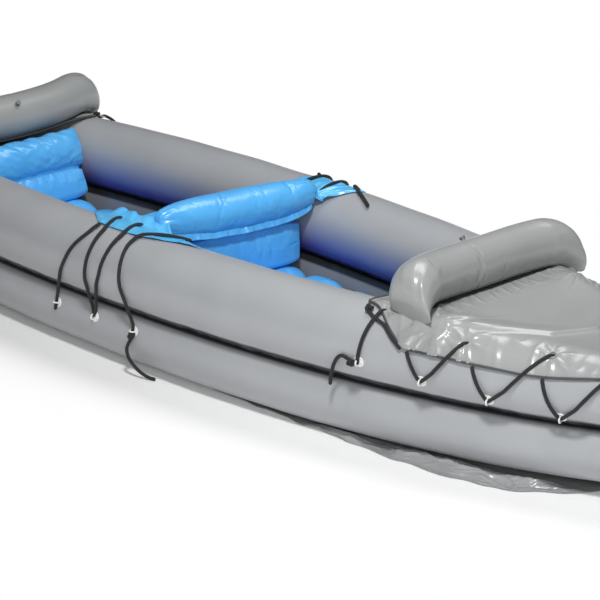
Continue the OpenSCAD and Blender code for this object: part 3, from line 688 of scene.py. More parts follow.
@dataclass(frozen=True)
class MetalFinish:
    """Plated wire."""

    name: str
    colour: Rgb
    roughness: float
    hazed: Rgb = (0.36, 0.36, 0.35)

    def make(self) -> bpy.types.Material:
        """Builds the material."""
        material, graph, shader = blank_finish(self.name)
        place = graph.place()
        haze = graph.noise(place, 180.0, 4.0)
        graph.feed(shader.inputs["Roughness"], self.roughness + 0.16 * (haze - 0.4))
        graph.feed(shader.inputs["Base Color"], graph.mixed(haze.between(0.45, 0.8), self.colour, self.hazed))
        shader.inputs["Metallic"].default_value = 1.0
        return material


class Finishes:
    """All finishes of the craft, each made once."""

    def __init__(self) -> None:
        """Builds the materials."""
        # The hull film carries the painted seat reflection and the painted shade.
        self.hull = FilmFinish(
            "hull_film", (0.395, 0.408, 0.425), (0.368, 0.381, 0.398), 0.40, 0.10, tint=(0.045, 0.032, 0.30)
        ).make()
        self.deck = FilmFinish(
            "deck_film", (0.350, 0.363, 0.360), (0.325, 0.337, 0.336), 0.32, 0.18, dents=0.0002, crinkle=0.0009
        ).make()
        # The near-black hem is partly a dark hem and partly painted shade of the gap under the deck's edge.
        self.hem = FilmFinish("hem_film", (0.075, 0.078, 0.08), (0.055, 0.057, 0.06), 0.38).make()
        self.skirt = FilmFinish("skirt_film", (0.36, 0.365, 0.37), (0.28, 0.285, 0.29), 0.34, 0.1, dents=0.001).make()
        self.floor = FilmFinish("floor_film", (0.085, 0.087, 0.095), (0.065, 0.067, 0.074), 0.42).make()
        self.seat = FilmFinish(
            "seat_film", (0.11, 0.48, 0.93), (0.085, 0.42, 0.88), 0.33, 0.16, dents=0.0005, crinkle=0.0018
        ).make()
        self.flap = FilmFinish("flap_film", (0.13, 0.54, 0.93), (0.09, 0.47, 0.88), 0.33, 0.16, crinkle=0.0024).make()
        self.cord = CordFinish("braided_cord", (0.008, 0.009, 0.010), (0.022, 0.023, 0.025), CORD_RADIUS).make()
        self.loop = PlasticFinish("loop_plastic", (0.86, 0.86, 0.85), (0.74, 0.74, 0.72), 0.36).make()
        self.fitting = PlasticFinish("fitting_plastic", (0.020, 0.021, 0.022), (0.05, 0.05, 0.052), 0.42).make()
        self.pale = PlasticFinish("valve_plastic", (0.16, 0.165, 0.17), (0.2, 0.205, 0.21), 0.40).make()
        self.wire = MetalFinish("handle_wire", (0.55, 0.55, 0.55), 0.30).make()


def fitted(piece: Mesh, body: str, material: bpy.types.Material, slot: str, *nodes: str) -> Mesh:
    """Gives a finished piece its material and body, and hides the CAD nodes that it stands for."""
    if not piece.data.materials:
        piece.data.materials.append(material)
    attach(piece, body)
    if nodes:
        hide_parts(*nodes)
    LOG.info("%s rides on %s", piece.name, body)
    return piece


class NodeTool:
    """A Geometry Nodes tree that turns marks or routes into small repeated pieces."""

    def __init__(self, name: str) -> None:
        """Starts the tree with its geometry sockets."""
        self.tree = bpy.data.node_groups.new(name, "GeometryNodeTree")
        self.tree.interface.new_socket("Geometry", in_out="INPUT", socket_type="NodeSocketGeometry")
        self.tree.interface.new_socket("Geometry", in_out="OUTPUT", socket_type="NodeSocketGeometry")
        self.graph = Graph(self.tree)
        self.keys: dict[str, str] = {}
        self.start = self.graph.node("NodeGroupInput")

    def size(self, name: str, kind: str = "NodeSocketFloat") -> str:
        """Adds a named input.

        Args:
            name: Name of the input.
            kind: Socket type.

        Returns:
            The name, to look the socket up by.
        """
        made = self.tree.interface.new_socket(name, in_out="INPUT", socket_type=kind)
        self.keys[name] = made.identifier
        return name

    def given(self, name: str) -> bpy.types.NodeSocket:
        """The socket inside the tree that carries a named input."""
        return self.start.outputs[name]

    def end(self, geometry: bpy.types.NodeSocket) -> None:
        """Ends the tree in real, smooth geometry with its material."""
        self.size("Material", "NodeSocketMaterial")
        smooth = self.graph.node("GeometryNodeSetShadeSmooth", None, {"Geometry": geometry})
        real = self.graph.node("GeometryNodeRealizeInstances", None, {"Geometry": smooth.outputs[0]})
        dressed = self.graph.node(
            "GeometryNodeSetMaterial", None, {"Geometry": real.outputs[0], "Material": self.given("Material")}
        )
        self.graph.node("NodeGroupOutput", None, {0: dressed.outputs[0]})

    def circle(self, points: int, radius: str) -> bpy.types.Node:
        """A circle with a named input as its radius."""
        sizes = {"Resolution": points, "Radius": self.given(radius)}
        return self.graph.node("GeometryNodeCurvePrimitiveCircle", None, sizes)

    def piped(self, route: bpy.types.Node, section: bpy.types.Node, capped: bool = False) -> bpy.types.Node:
        """A mesh with a section swept along a route."""
        parts = {"Curve": route.outputs[0], "Profile Curve": section.outputs[0], "Fill Caps": capped}
        return self.graph.node("GeometryNodeCurveToMesh", None, parts)

    def stamp(self, piece: bpy.types.Node) -> None:
        """Ends the tree with the piece set on each mark."""
        places = {"Points": self.given("Geometry"), "Instance": piece.outputs[0], "Rotation": self.rotation()}
        self.end(self.graph.node("GeometryNodeInstanceOnPoints", None, places).outputs[0])

    def rotation(self) -> bpy.types.NodeSocket:
        """A rotation that stands Z on the marks' normals and turns X along them."""
        stood = self.facing("Z", "AUTO", "normal", None)
        return self.facing("X", "Z", "along", stood)

    def facing(self, axis: str, pivot: str, mark: str, before: Feed | None) -> bpy.types.NodeSocket:
        """A rotation that turns an axis to a direction stored on the marks."""
        stored = self.graph.node("GeometryNodeInputNamedAttribute", {"data_type": "FLOAT_VECTOR"}, {"Name": mark})
        turn = self.graph.node(
            "FunctionNodeAlignRotationToVector", {"axis": axis, "pivot_axis": pivot}, {"Vector": stored.outputs[0]}
        )
        if before is not None:
            self.graph.feed(turn.inputs["Rotation"], before)
        return turn.outputs[0]

    def run(self, name: str, carrier: Mesh, **sizes: Feed) -> Mesh:
        """Runs the tree on a carrier mesh and keeps the result as a plain mesh.

        Args:
            name: Name of the piece.
            carrier: Marks or routes, which are removed.
            **sizes: Values of the named inputs, with _ for a space.

        Returns:
            The piece.
        """
        modifier = carrier.modifiers.new(self.tree.name, "NODES")
        modifier.node_group = self.tree
        for key, value in sizes.items():
            modifier[self.keys[key.replace("_", " ").title()]] = value
        mesh = evaluated(carrier)
        old = carrier.data
        bpy.data.objects.remove(carrier)
        bpy.data.meshes.remove(old)
        mesh.name = name
        return linked(name, mesh)


def marks(name: str, rows: Sequence[tuple[Array, Array, Array]]) -> Mesh:
    """Loose vertices from rows of a place, a normal and a direction each."""
    places, normals, along = (np.array(k) for k in zip(*rows))
    mesh = bpy.data.meshes.new(name)
    mesh.from_pydata(np.asarray(places, float).tolist(), [], [])
    for key, value in (("normal", normals), ("along", along)):
        layer = mesh.attributes.new(key, "FLOAT_VECTOR", "POINT")
        layer.data.foreach_set("vector", np.asarray(value, np.float32).ravel())
    return linked(name, mesh)


def loop_tool() -> NodeTool:
    """The tree of a lacing loop: a welded disc, and a bridge on it of two legs and a half-round top."""
    tool = NodeTool("lacing_loops")
    base, thick, rim, leg, wire = (
        tool.size(n) for n in ("Base Radius", "Base Thickness", "Rim Radius", "Leg Height", "Wire Radius")
    )
    graph = tool.graph
    outline, edge = tool.circle(36, base), tool.circle(10, thick)
    bead = tool.piped(outline, edge)
    disc = graph.node(
        "GeometryNodeMeshCylinder", None, {"Vertices": 36, "Radius": tool.given(base), "Depth": tool.given(thick)}
    )
    arc = graph.node(
        "GeometryNodeCurveArc",
        None,
        {"Resolution": 24, "Radius": tool.given(rim), "Start Angle": 0.0, "Sweep Angle": math.pi},
    )
    top = graph.node("ShaderNodeCombineXYZ", None, {"Z": tool.given(leg)})
    curves = [
        graph.node(
            "GeometryNodeTransform",
            None,
            {"Geometry": arc.outputs[0], "Rotation": (math.pi / 2, 0.0, math.pi / 2), "Translation": top.outputs[0]},
        )
    ]
    for side in (-1.0, 1.0):
        out = Value(graph, tool.given(rim)) * side
        foot = graph.node("ShaderNodeCombineXYZ", None, {"Y": out})
        head = graph.node("ShaderNodeCombineXYZ", None, {"Y": out, "Z": tool.given(leg)})
        curves.append(
            graph.node("GeometryNodeCurvePrimitiveLine", None, {"Start": foot.outputs[0], "End": head.outputs[0]})
        )
    frame_line = graph.node("GeometryNodeJoinGeometry")
    for part in curves:
        graph.tree.links.new(part.outputs[0], frame_line.inputs[0])
    profile = tool.circle(12, wire)
    bridge = tool.piped(frame_line, profile, True)
    whole = graph.node("GeometryNodeJoinGeometry")
    for part in (bridge, disc, bead):
        graph.tree.links.new(part.outputs[0], whole.inputs[0])
    tool.stamp(whole)
    return tool


def eyelet_tool() -> NodeTool:
    """The tree of a pressed eyelet: a rolled ring lying on the film."""
    tool = NodeTool("eyelets")
    ring, roll = tool.size("Ring Radius"), tool.size("Roll Radius")
    outline, edge = tool.circle(24, ring), tool.circle(8, roll)
    torus = tool.piped(outline, edge)
    tool.stamp(torus)
    return tool


RING_LIFT = 0.0062


def ring_marks(name: str, places: Iterable[tuple[float, float]], flip: Array) -> Mesh:
    """Marks for eyelets on both upper tubes, from distances and angles in radians."""
    rows = []
    spots = list(places)
    for side in Side:
        for x, a in spots:
            mark = (HULL.on_upper(x, a, RING_LIFT), HULL.outward(x, a), AHEAD)
            rows.append(tuple(mirrored(k, side) * flip for k in mark))
    return marks(name, rows)


@dataclass(frozen=True)
class Inflation:
    """Blows a closed skin up as cloth: its film swells, and wrinkles where welds hold it."""

    cap: float
    spare: float
    pressure: float = 10.0
    frames: int = 20
    mass: float = 0.0003
    stiffness: float = 15.0
    bending: float = 0.005

    def blow(self, piece: Mesh, held: Array) -> None:
        """Settles the film and keeps the result as a plain, finer mesh.

        Args:
            piece: A closed skin of even quads, a little slimmer than the blown-up form.
            held: How firmly a weld holds each vertex, from 0 to 1.
        """
        self.settle(piece, held)
        finer = piece.modifiers.new("finer", "SUBSURF")
        finer.levels = finer.render_levels = 1
        mesh = evaluated(piece)
        old = piece.data
        piece.modifiers.remove(finer)
        piece.data = mesh
        mesh.name = piece.name
        bpy.data.meshes.remove(old)
        mesh.shade_smooth()

    def settle(self, piece: Mesh, held: Array) -> None:
        """Runs the cloth, and moves the vertices by what it gives, up to the cap."""
        welds = piece.vertex_groups.new(name="welds")
        held = np.round(np.clip(np.ravel(held), 0, 1), 1)
        for level in np.unique(held[held > 0]):
            welds.add(np.flatnonzero(held == level).tolist(), float(level), "REPLACE")
        film = piece.modifiers.new("film", "CLOTH")
        cloth = film.settings
        cloth.quality = 5
        cloth.mass = self.mass
        cloth.use_pressure = True
        cloth.uniform_pressure_force = self.pressure
        cloth.shrink_min = cloth.shrink_max = -self.spare
        cloth.tension_stiffness = cloth.compression_stiffness = cloth.shear_stiffness = self.stiffness
        cloth.bending_stiffness = self.bending
        cloth.effector_weights.gravity = 0.0
        cloth.vertex_group_mass = welds.name
        film.collision_settings.use_collision = False
        scene = bpy.context.scene
        before = self.places(piece.data)
        for number in range(1, self.frames + 1):
            scene.frame_set(number)
        graph = bpy.context.evaluated_depsgraph_get()
        shown = piece.evaluated_get(graph)
        move = self.places(shown.to_mesh()) - before
        shown.to_mesh_clear()
        piece.modifiers.remove(film)
        piece.vertex_groups.remove(welds)
        scene.frame_set(1)
        far = np.linalg.norm(move, axis=1, keepdims=True)
        move *= np.minimum(1.0, self.cap / np.maximum(far, 1e-9))
        piece.data.vertices.foreach_set("co", (before + move).ravel())
        piece.data.update()
        LOG.info("%s blown up: %.1f mm on average", piece.name, 1000 * float(np.minimum(far, self.cap).mean()))

    @staticmethod
    def places(mesh: bpy.types.Mesh) -> Array:
        """Vertex places of a mesh."""
        flat = np.empty(len(mesh.vertices) * 3)
        mesh.vertices.foreach_get("co", flat)
        return flat.reshape(-1, 3)


@dataclass
class Studio:
    """The camera at the photograph's angle, a pale floor and soft light."""

    eye: tuple[float, float, float] = (4.528, -3.910, 2.180)
    yaw: float = 46.531
    pitch: float = 19.691
    lens: float = 149.68
    aim: tuple[float, float, float] = (0.5, 0.0, 0.2)
    floor_reach: float = 30.0
    floor_drop: float = 0.0006
    hull_reach: float = 1.35
    shade: tuple[float, float] = (0.42, 0.72)
    glow: float = 0.10

    def camera(self) -> None:
        """Makes the camera."""
        data = bpy.data.cameras.new("camera")
        data.lens = self.lens
        data.sensor_width = 36.0
        data.sensor_fit = "HORIZONTAL"
        data.clip_end = 100.0
        camera = linked("camera", data)
        camera.location = self.eye
        camera.rotation_euler = (math.radians(90 - self.pitch), 0.0, math.radians(self.yaw))
        bpy.context.scene.camera = camera

    def floor(self) -> None:
        """Makes a pale floor that reads as white and keeps the shadow."""
        reach = self.floor_reach
        mesh = bpy.data.meshes.new("studio_floor")
        corners = ((-reach, -reach), (reach, -reach), (reach, reach), (-reach, reach))
        mesh.from_pydata([(*corner, -self.floor_drop) for corner in corners], [], [(0, 1, 2, 3)])
        made = linked("studio_floor", mesh)
        material, graph, shader = blank_finish("floor_paper")
        shader.inputs["Base Color"].default_value = (0.97, 0.97, 0.97, 1.0)
        shader.inputs["Roughness"].default_value = 0.9
        shader.inputs["Specular IOR Level"].default_value = 0.1
        glow = graph.node("ShaderNodeEmission", None, {"Color": (1.0, 1.0, 1.0, 1.0), "Strength": 1.0})
        place = graph.place()
        split = graph.node("ShaderNodeSeparateXYZ", None, {0: place})
        beyond = abs(Value(graph, split.outputs["X"])) - self.hull_reach
        along = beyond.math("MAXIMUM", beyond, 0.0)
        away = (along * along + Value(graph, split.outputs["Y"]) ** 2.0) ** 0.5
        share = self.seen(graph) * (self.glow + (1 - self.glow) * away.between(*self.shade))
        mix = graph.node("ShaderNodeMixShader", None, {0: share, 1: shader.outputs[0], 2: glow.outputs[0]})
        out = next(n for n in graph.tree.nodes if n.type == "OUTPUT_MATERIAL")
        graph.feed(out.inputs["Surface"], mix.outputs[0])
        mesh.materials.append(material)

    @staticmethod
    def seen(graph: Graph) -> Value:
        """1 for what the camera sees straight, in a reflection or through a film."""
        path = graph.node("ShaderNodeLightPath")
        seen = Value(graph, path.outputs["Is Camera Ray"]) + path.outputs["Is Glossy Ray"]
        return (seen + path.outputs["Is Transmission Ray"]).clip()

    def lamp(self, name: str, place: Sequence[float], level: float, size: float) -> None:
        """A round soft lamp that points at the middle of what the picture shows.

        Args:
            name: Name of the lamp.
            place: Where it stands.
            level: Light on a face square to it, where 1 shows a colour as it is written.
            size: Its diameter.
        """
        x, y, z = np.array(place) - np.array(self.aim)
        data = bpy.data.lights.new(name, "AREA")
        data.shape = "DISK"
        data.size = size
        data.energy = level * math.pi**2 * (x * x + y * y + z * z)
        lamp = linked(name, data)
        lamp.location = place
        lamp.rotation_euler = (math.atan2(math.hypot(x, y), z), 0.0, math.atan2(x, -y))

    def light(self) -> None:
        """Makes the lamps and the surrounding light."""
        scene = bpy.context.scene
        scene.view_settings.view_transform = "Standard"
        world = bpy.data.worlds.new("studio")
        world.use_nodes = True
        scene.world = world
        graph = Graph(world.node_tree)
        back = next(n for n in world.node_tree.nodes if n.type == "BACKGROUND")
        back.inputs["Color"].default_value = (1.0, 1.0, 1.0, 1.0)
        path = graph.node("ShaderNodeLightPath")
        graph.feed(back.inputs["Strength"], 0.05 + 0.95 * Value(graph, path.outputs["Is Camera Ray"]))
        self.lamp("key", (1.9, -1.5, 3.2), 0.64, 0.5)
        self.lamp("overhead", (0.4, 0.9, 3.2), 0.44, 1.7)
        self.lamp("fill", (3.2, -2.8, 1.7), 0.26, 1.6)


@dataclass
class SideTubes:
    """The four side tubes, with the film drawn into small folds along their webs and at the ends."""

    finishes: Finishes
    stations: int = 420
    around: int = 84
    web_points: int = 10
    pucker_depth: float = 0.0011
    pucker_reach: float = 0.020
    sway: float = 0.0006
    end_fold: float = 0.0022
    end_zone: tuple[float, float] = (1.30, 1.66)
    # How far from the web the painted shade in the groove reaches, on the upper and on the lower tubes.
    upper_groove_shade: tuple[float, float] = (0.022, 0.025)
    lower_groove_shade: tuple[float, float] = (0.012, 0.020)
    # Heights over which the painted seat reflection fades out going up.
    tint_zone: tuple[float, float] = (0.165, 0.290)
    # Strength of the painted shade on the cockpit sides of the lower tubes.
    inner_painted_shade: float = 0.50

    def angles(self, cut: Array) -> tuple[Array, Array]:
        """Angles from the crest round a section, closed by a straight web.

        Args:
            cut: Web angle at each station, as a column.

        Returns:
            The angles, and the share of the way along the web for points on it, or -1.
        """
        k = np.linspace(-1, 1, self.around - self.web_points)[None, :]
        angle = k * (np.pi / 2 + cut)
        share = np.full_like(angle, -1.0)
        inner = np.linspace(0, 1, self.web_points + 2)[1:-1][None, :].repeat(len(cut), 0)
        return np.concatenate([angle, np.zeros_like(inner)], 1), np.concatenate([share, inner], 1)

    def tube(self, side: Side, upper: bool) -> Mesh:
        """Builds one tube."""
        t = np.linspace(-1, 1, self.stations)
        reach = HULL.half + 0.995 * HULL.nose
        x = reach * (0.55 * t + 0.45 * np.sin(np.pi / 2 * t))
        cut = HULL.cuts(x)[0 if upper else 1][:, None]
        angle, share = self.angles(cut)
        film = share < 0
        grid_x = np.broadcast_to(x[:, None], angle.shape)
        seed = 11 + 2 * side.value + (5 if upper else 0)
        fine, broad = Ripple(seed, 0.055), Ripple(seed + 40, 0.26)
        radius = (HULL.upper_rad(x) if upper else HULL.lower_rad(x))[:, None]
        along_arc = angle * np.maximum(radius, 0.004)
        from_web = (np.pi / 2 + cut - np.abs(angle)) * radius
        drawn = np.exp(-np.maximum(from_web, 0) / self.pucker_reach)
        ends = ease(*self.end_zone, np.abs(grid_x))
        lift = self.pucker_depth * drawn * fine(grid_x * 1.4, along_arc * 0.6)
        lift = lift + self.sway * broad(grid_x, along_arc)
        lift = lift + self.end_fold * ends * (fine.ridge(grid_x * 0.5, along_arc) - 0.4)
        lift = np.where(film, lift, 0.0) * ease(0.0, 0.03, radius)
        flip = angle if upper else np.pi - angle
        points = HULL.on_tube(upper, grid_x, flip, lift)
        corner = self.around - self.web_points - 1
        first, last = points[:, :1], points[:, corner : corner + 1]
        chord = last + (first - last) * np.clip(share, 0, 1)[..., None]
        points = np.where(film[..., None], points, chord)
        points[..., 1] = np.maximum(points[..., 1], HULL.mid_gap)
        inboard = ease(0.0, 0.5, -np.sin(flip))
        # Painted reflection of the blue seats with painted shade: low on the inboard faces of the upper tubes in the
        # cockpit.
        low = 1 - ease(*self.tint_zone, points[..., 2])
        cockpit = 1 - ease(0.95, 1.05, np.abs(grid_x - 0.1))
        # Painted shade in the groove: near-black next to the web, fading out further along the tube's section.
        groove_shade = np.where(film, 1 - ease(*(self.upper_groove_shade if upper else self.lower_groove_shade), from_web), 1.0)
        place = "upper" if upper else "lower"
        return ring_skin(
            f"{side.word}_{place}_film",
            mirrored(points, side),
            tint=inboard * low * cockpit * float(upper) * 0.95,
            # The cockpit sides of the lower tubes get half-strength painted shade as well.
            dark=np.maximum(groove_shade, self.inner_painted_shade * inboard * cockpit * float(not upper)),
            pucker=np.clip(0.35 * drawn + 0.6 * ends * (1 - drawn), 0, 1) * film * 0.5,
        )

    def build(self) -> None:
        """Builds and dresses the tubes."""
        for side in Side:
            for upper in (True, False):
                place = "upper" if upper else "lower"
                fitted(self.tube(side, upper), "hull", self.finishes.hull, "hull_film", f"{side.word}_{place}_tube")


@dataclass
class BottomSkin:
    """The bottom film. Its loose edge crumples into a skirt under the ends."""

    finishes: Finishes
    half: float = 1.450
    half_w: float = 0.298
    thick: float = 0.0016
    fold_rise: float = 0.013

    def edge(self, x: Array) -> Array:
        """Half-width of the film."""
        return self.half_w * np.clip(1 - (np.abs(x) / self.half) ** 9, 0, 1) ** 0.6

    def build(self) -> None:
        """Builds and dresses the film."""
        x = self.half * np.sin(np.pi / 2 * np.linspace(-0.997, 0.997, 520))[:, None]
        k = np.linspace(-1, 1, 170)
        across = (np.sign(k) * (1 - (1 - np.abs(k)) ** 2.2))[None, :]
        flutter = 1 - 0.018 * (1 + Ripple(70, 0.11, 1)(x)) * ease(0.2, 0.9, np.abs(x))
        y = self.edge(x) * across * flutter
        inward = self.edge(x) * flutter - np.abs(y)
        under = np.maximum(0, HULL.lower_rad(x) ** 2 - ((np.abs(y) - HULL.lower_w(x)) / HULL.stretch(x)) ** 2)
        room = np.where(under > 0, HULL.lower_z(x) - np.sqrt(under), 0.2) - 0.003
        loose = ease(0.0, 0.045, np.abs(y) - HULL.lower_w(x) - 0.012) * ease(0.25, 0.85, np.abs(x))
        folds, tight, crease = Ripple(71, 0.16), Ripple(72, 0.060), Ripple(73, 0.034)
        along = x + 0.7 * inward * np.sign(y)
        wave = 0.5 + 0.5 * folds(along * 0.8, inward * 2.4) + 0.42 * tight.ridge(along * 0.7, inward * 1.8)
        wave = wave + 0.18 * crease.ridge(along, inward * 1.2)
        height = loose * self.fold_rise * np.clip(wave, 0, 2) * (0.35 + 0.65 * ease(0.0, 0.03, inward))
        z = self.thick + np.minimum(height, np.maximum(room * 0.8, 0.0))
        outer = stacked(x, y, z)
        piece = sheet_skin("bottom_film", outer, self.thick, UP, pucker=0.8 * loose * np.ones_like(y))
        fitted(piece, "hull", self.finishes.skirt, "hull_film", "bottom_skin")
        area = float(np.trapz(2 * self.edge(x[:, 0]), x[:, 0]))
        2 * self.half_w


@dataclass
class InflatedFloor:
    """The ribbed air floor, whose ribs a node tree raises from a flat cut."""

    finishes: Finishes
    thick: float = 0.080
    rib_depth: float = 0.020
    ribs: int = 5
    gap: float = 0.003
    under: float = 0.002
    half: float = 1.4043

    def half_w(self, x: Array) -> Array:
        """Half-width of the floor."""
        return HULL.inner_w(x) - self.gap

    def tool(self) -> NodeTool:
        """The tree that lifts the ribs: each point rises by its rib's rounded section."""
        tool = NodeTool("floor_ribs")
        depth, ribs = tool.size("Rib Depth"), tool.size("Rib Count")
        graph = tool.graph
        across = graph.value("GeometryNodeInputNamedAttribute", {"data_type": "FLOAT"}, {"Name": "across"})
        top = graph.value("GeometryNodeInputNamedAttribute", {"data_type": "FLOAT"}, {"Name": "top"})
        turn = (across + 1.0) * tool.given(ribs) * (math.pi / 2)
        rise = abs(turn.sin()) ** 0.7 * top * tool.given(depth)
        offset = graph.node("ShaderNodeCombineXYZ", None, {"Z": rise})
        raised = graph.node(
            "GeometryNodeSetPosition", None, {"Geometry": tool.given("Geometry"), "Offset": offset.outputs[0]}
        )
        tool.end(raised.outputs[0])
        return tool

    def build(self) -> None:
        """Builds and dresses the floor."""
        x = self.half * np.sin(np.pi / 2 * np.linspace(-1, 1, 200))[:, None]
        columns = 100
        v = np.linspace(1, -1, columns)[None, :]
        b = self.half_w(x)
        end = np.sqrt(np.minimum(1, (self.half - np.abs(x)) / self.thick + 0.15))
        low = self.thick - self.rib_depth
        ripple = Ripple(31, 0.09)
        z = self.under + low * end + 0.0012 * ripple(x, b * v)
        top = stacked(x, b * v, z)
        bottom = stacked(x, b * -v, np.full_like(z, self.under))
        rings = np.concatenate([top, bottom], 1)
        weight = np.concatenate([np.broadcast_to(end, z.shape), np.zeros_like(z)], 1)
        across = np.concatenate([np.broadcast_to(v, z.shape), np.broadcast_to(-v, z.shape)], 1)
        carrier = ring_skin("floor_cut", rings, None, across=across, top=weight, pucker=0.3 * weight)
        piece = self.tool().run(
            "floor_film", carrier, rib_depth=self.rib_depth, rib_count=float(self.ribs), material=self.finishes.floor
        )
        fitted(piece, "hull", self.finishes.floor, "floor_film", "inflatable_floor")


@dataclass
class Deck:
    """A deck sheet drawn over the side tubes, creased behind its splash tube and puckered at its corners."""

    finishes: Finishes
    end: End
    start: float
    arch_x: float
    sag: float
    tip: float = 1.650
    gap: float = 0.0016
    thick: float = 0.0024
    reach: float = 68.0
    edge_start: float = 10.0
    corner: float = 0.170
    tip_l: float = 0.350
    tip_reach: float = 36.0
    rows: int = 216
    columns: int = 205
    arc_share: float = 0.42
    arch_r: float = 0.059
    arch_sweep: float = 0.043
    arch_reach: float = 27.0
    arch_full: float = 0.68
    roll_rise: float = 0.0075
    fan_rise: float = 0.0032
    lace_rise: float = 0.0022
    glint_rise: float = 0.0018
    lip_rise: float = 0.0030
    sway: float = 0.0009
    facet_rise: float = 0.0030
    pull_rise: float = 0.0048
    bed_rise: float = 0.011
    hem_r: float = 0.0032
    holes: tuple[tuple[float, float], ...] = ()

    @property
    def top(self) -> float:
        """Height of the upper face over the side tubes."""
        return self.gap + self.thick

    def edge(self, x: Array) -> Array:
        """Angle down the side tube that the sheet reaches, in degrees."""
        near = self.edge_start + (self.reach - self.edge_start) * ease(self.start, self.start + self.corner, x)
        far = self.reach - (self.reach - self.tip_reach) * ease(self.tip - self.tip_l, self.tip, x)
        return np.minimum(near, far)

    def arc(self, x: Array, off: Array, a: Array) -> tuple[Array, Array]:
        """Half-width and height of a point over the side tube, at an angle from the crest in radians."""
        r = HULL.upper_rad(x) + off
        return HULL.half_w(x) + r * HULL.stretch(x) * np.sin(a), HULL.upper_z(x) + r * np.cos(a)

    def leave(self, x: Array) -> tuple[Array, Array]:
        """Where the upper face leaves the side tube: half-width and height."""
        return self.arc(x, self.top, np.full_like(np.asarray(x, float), -math.radians(self.sag)))

    def level(self, x: Array, y: Array) -> Array:
        """Height of the upper face between the side tubes."""
        t_y, t_z = self.leave(x)
        return t_z - t_y * math.tan(math.radians(self.sag)) / 2 * (1 - (y / t_y) ** 2)

    def surface(self, x: Array, t: Array) -> Array:
        """Points of the upper face, from one edge at t = -1 to the other at t = 1."""
        x, t = np.broadcast_arrays(x, t)
        t_y, _ = self.leave(x)
        inner = 1 - self.arc_share
        share = np.abs(t) / inner
        flat_y = t_y * np.minimum(share, 1)
        sag = math.radians(self.sag)
        a = -sag + (np.radians(self.edge(x)) + sag) * np.clip((np.abs(t) - inner) / self.arc_share, 0, 1)
        arc_y, arc_z = self.arc(x, self.top, a)
        over = share > 1
        y = np.where(over, arc_y, flat_y) * np.sign(t + 1e-12)
        return stacked(x, y, np.where(over, arc_z, self.level(x, flat_y)))

    def crease(self, x: Array) -> Array:
        """Half-width of the fold line that runs from the splash tube's ends to the middle of the deck."""
        from_arch = np.array([0.06, 0.10, 0.22, 0.31, 0.355])
        return np.interp(x - self.arch_x, from_arch, [0.26, 0.237, 0.18, 0.112, 0.0])

    def pulls(self, points: Array) -> tuple[Array, Array]:
        """Folds that fan out from the lacing holes: their height, and how near a hole is."""
        x, y = points[..., 0], np.abs(points[..., 1])
        height, near = np.zeros_like(x), np.zeros_like(x)
        for number, (hole_x, a) in enumerate(self.holes):
            hole_y, _ = self.arc(hole_x, self.top, math.radians(a))
            ahead, out = x - hole_x, (y - hole_y) * 1.2
            radius = np.hypot(ahead, out)
            turn = 3.5 * np.arctan2(out, ahead) + 1.7 * number + np.sign(points[..., 1])
            reach = np.exp(-((radius / 0.048) ** 2))
            height += self.pull_rise * reach * ease(0.006, 0.020, radius) * (1 - np.abs(np.sin(turn))) ** 1.5
            near = np.maximum(near, reach)
        return height, near

    def flattened(self, share: Array) -> Array:
        """How far a splash tube has gone flat, from 0 to 1, at a share of the way to its seam."""
        return np.clip((share - self.arch_full) / (1 - self.arch_full), 0, 1)

    def bed(self, x: Array, y: Array) -> Array:
        """Height of the film that is drawn up against the splash tube, under the tube's own skin."""
        down = float(HULL.upper_rad(self.arch_x)) * math.radians(self.arch_reach + self.sag)
        reach = float(self.leave(self.arch_x)[0]) + down
        s = np.clip(y / reach, 0, 1)
        off = np.abs(x - self.arch_x - self.arch_sweep * s**4) / self.arch_r
        u = self.flattened(s)
        under = self.arch_r * np.sqrt(1 - u**4) * (1 - np.sqrt(1 - np.minimum(off, 1) ** 2))
        drawn = self.bed_rise * np.exp(-(((off - 0.62) / 0.40) ** 2)) * (1 - u)
        return np.where(off < 1, np.minimum(0.75 * under, drawn), drawn)

    def relief(self, points: Array) -> tuple[Array, Array]:
        """Height of the folds over the smooth sheet, and how far the film puckers there."""
        x, y = points[..., 0], np.abs(points[..., 1])
        from_arch = x - self.arch_x
        side = np.sign(points[..., 1])
        inside = (self.crease(x) - y) * 0.75
        behind = ease(0.03, 0.07, from_arch) * (1 - ease(0.345, 0.36, from_arch))
        roll = self.roll_rise * ease(-0.004, 0.014, inside) * (1 - 0.75 * ease(0.014, 0.075, inside)) * behind
        corner_x, corner_y = 0.10, 0.237
        ahead, out = from_arch - corner_x, y - corner_y
        radius = np.hypot(ahead, out)
        bearing = np.arctan2(out, ahead)
        fan = Ripple(91 + self.end.value, 0.36, 2)
        rays = np.clip(fan(bearing + 3.1 * side, radius * 1.5 + side), 0, 2)
        pull = np.exp(-((radius / 0.11) ** 2)) * ease(0.012, 0.04, radius)
        lacing = Ripple(95 + self.end.value, 0.062, 2)
        down = ease(0.0, 0.05, y - HULL.half_w(x))
        drawn = down * ease(0.0, 0.12, x - self.start) * (1 - ease(1.45, 1.62, x))
        ridge = lacing.ridge(x + 0.4 * y * side, 0.35 * y + side)
        small = np.exp(-((np.abs(from_arch) - 0.058) / 0.022) ** 2)
        glint = Ripple(97, 0.055, 2).ridge(y * 1.2 + side, from_arch * 0.8)
        height = roll + self.fan_rise * pull * rays + self.lace_rise * drawn * ridge + self.glint_rise * small * glint
        lip_x, lip_r = 0.104, 0.024
        lip_y = float(HULL.half_w(self.arch_x + lip_x)) + 0.050
        lip = np.exp(-(((np.hypot(from_arch - lip_x, y - lip_y) - lip_r) / 0.007) ** 2))
        height = height + self.lip_rise * lip * ease(-0.3, 0.7, (from_arch - lip_x) / lip_r)
        broad = Ripple(99 + self.end.value, 0.22)
        height = height + self.sway * (1 + broad(x, points[..., 1])) * ease(0.06, 0.12, np.abs(from_arch))
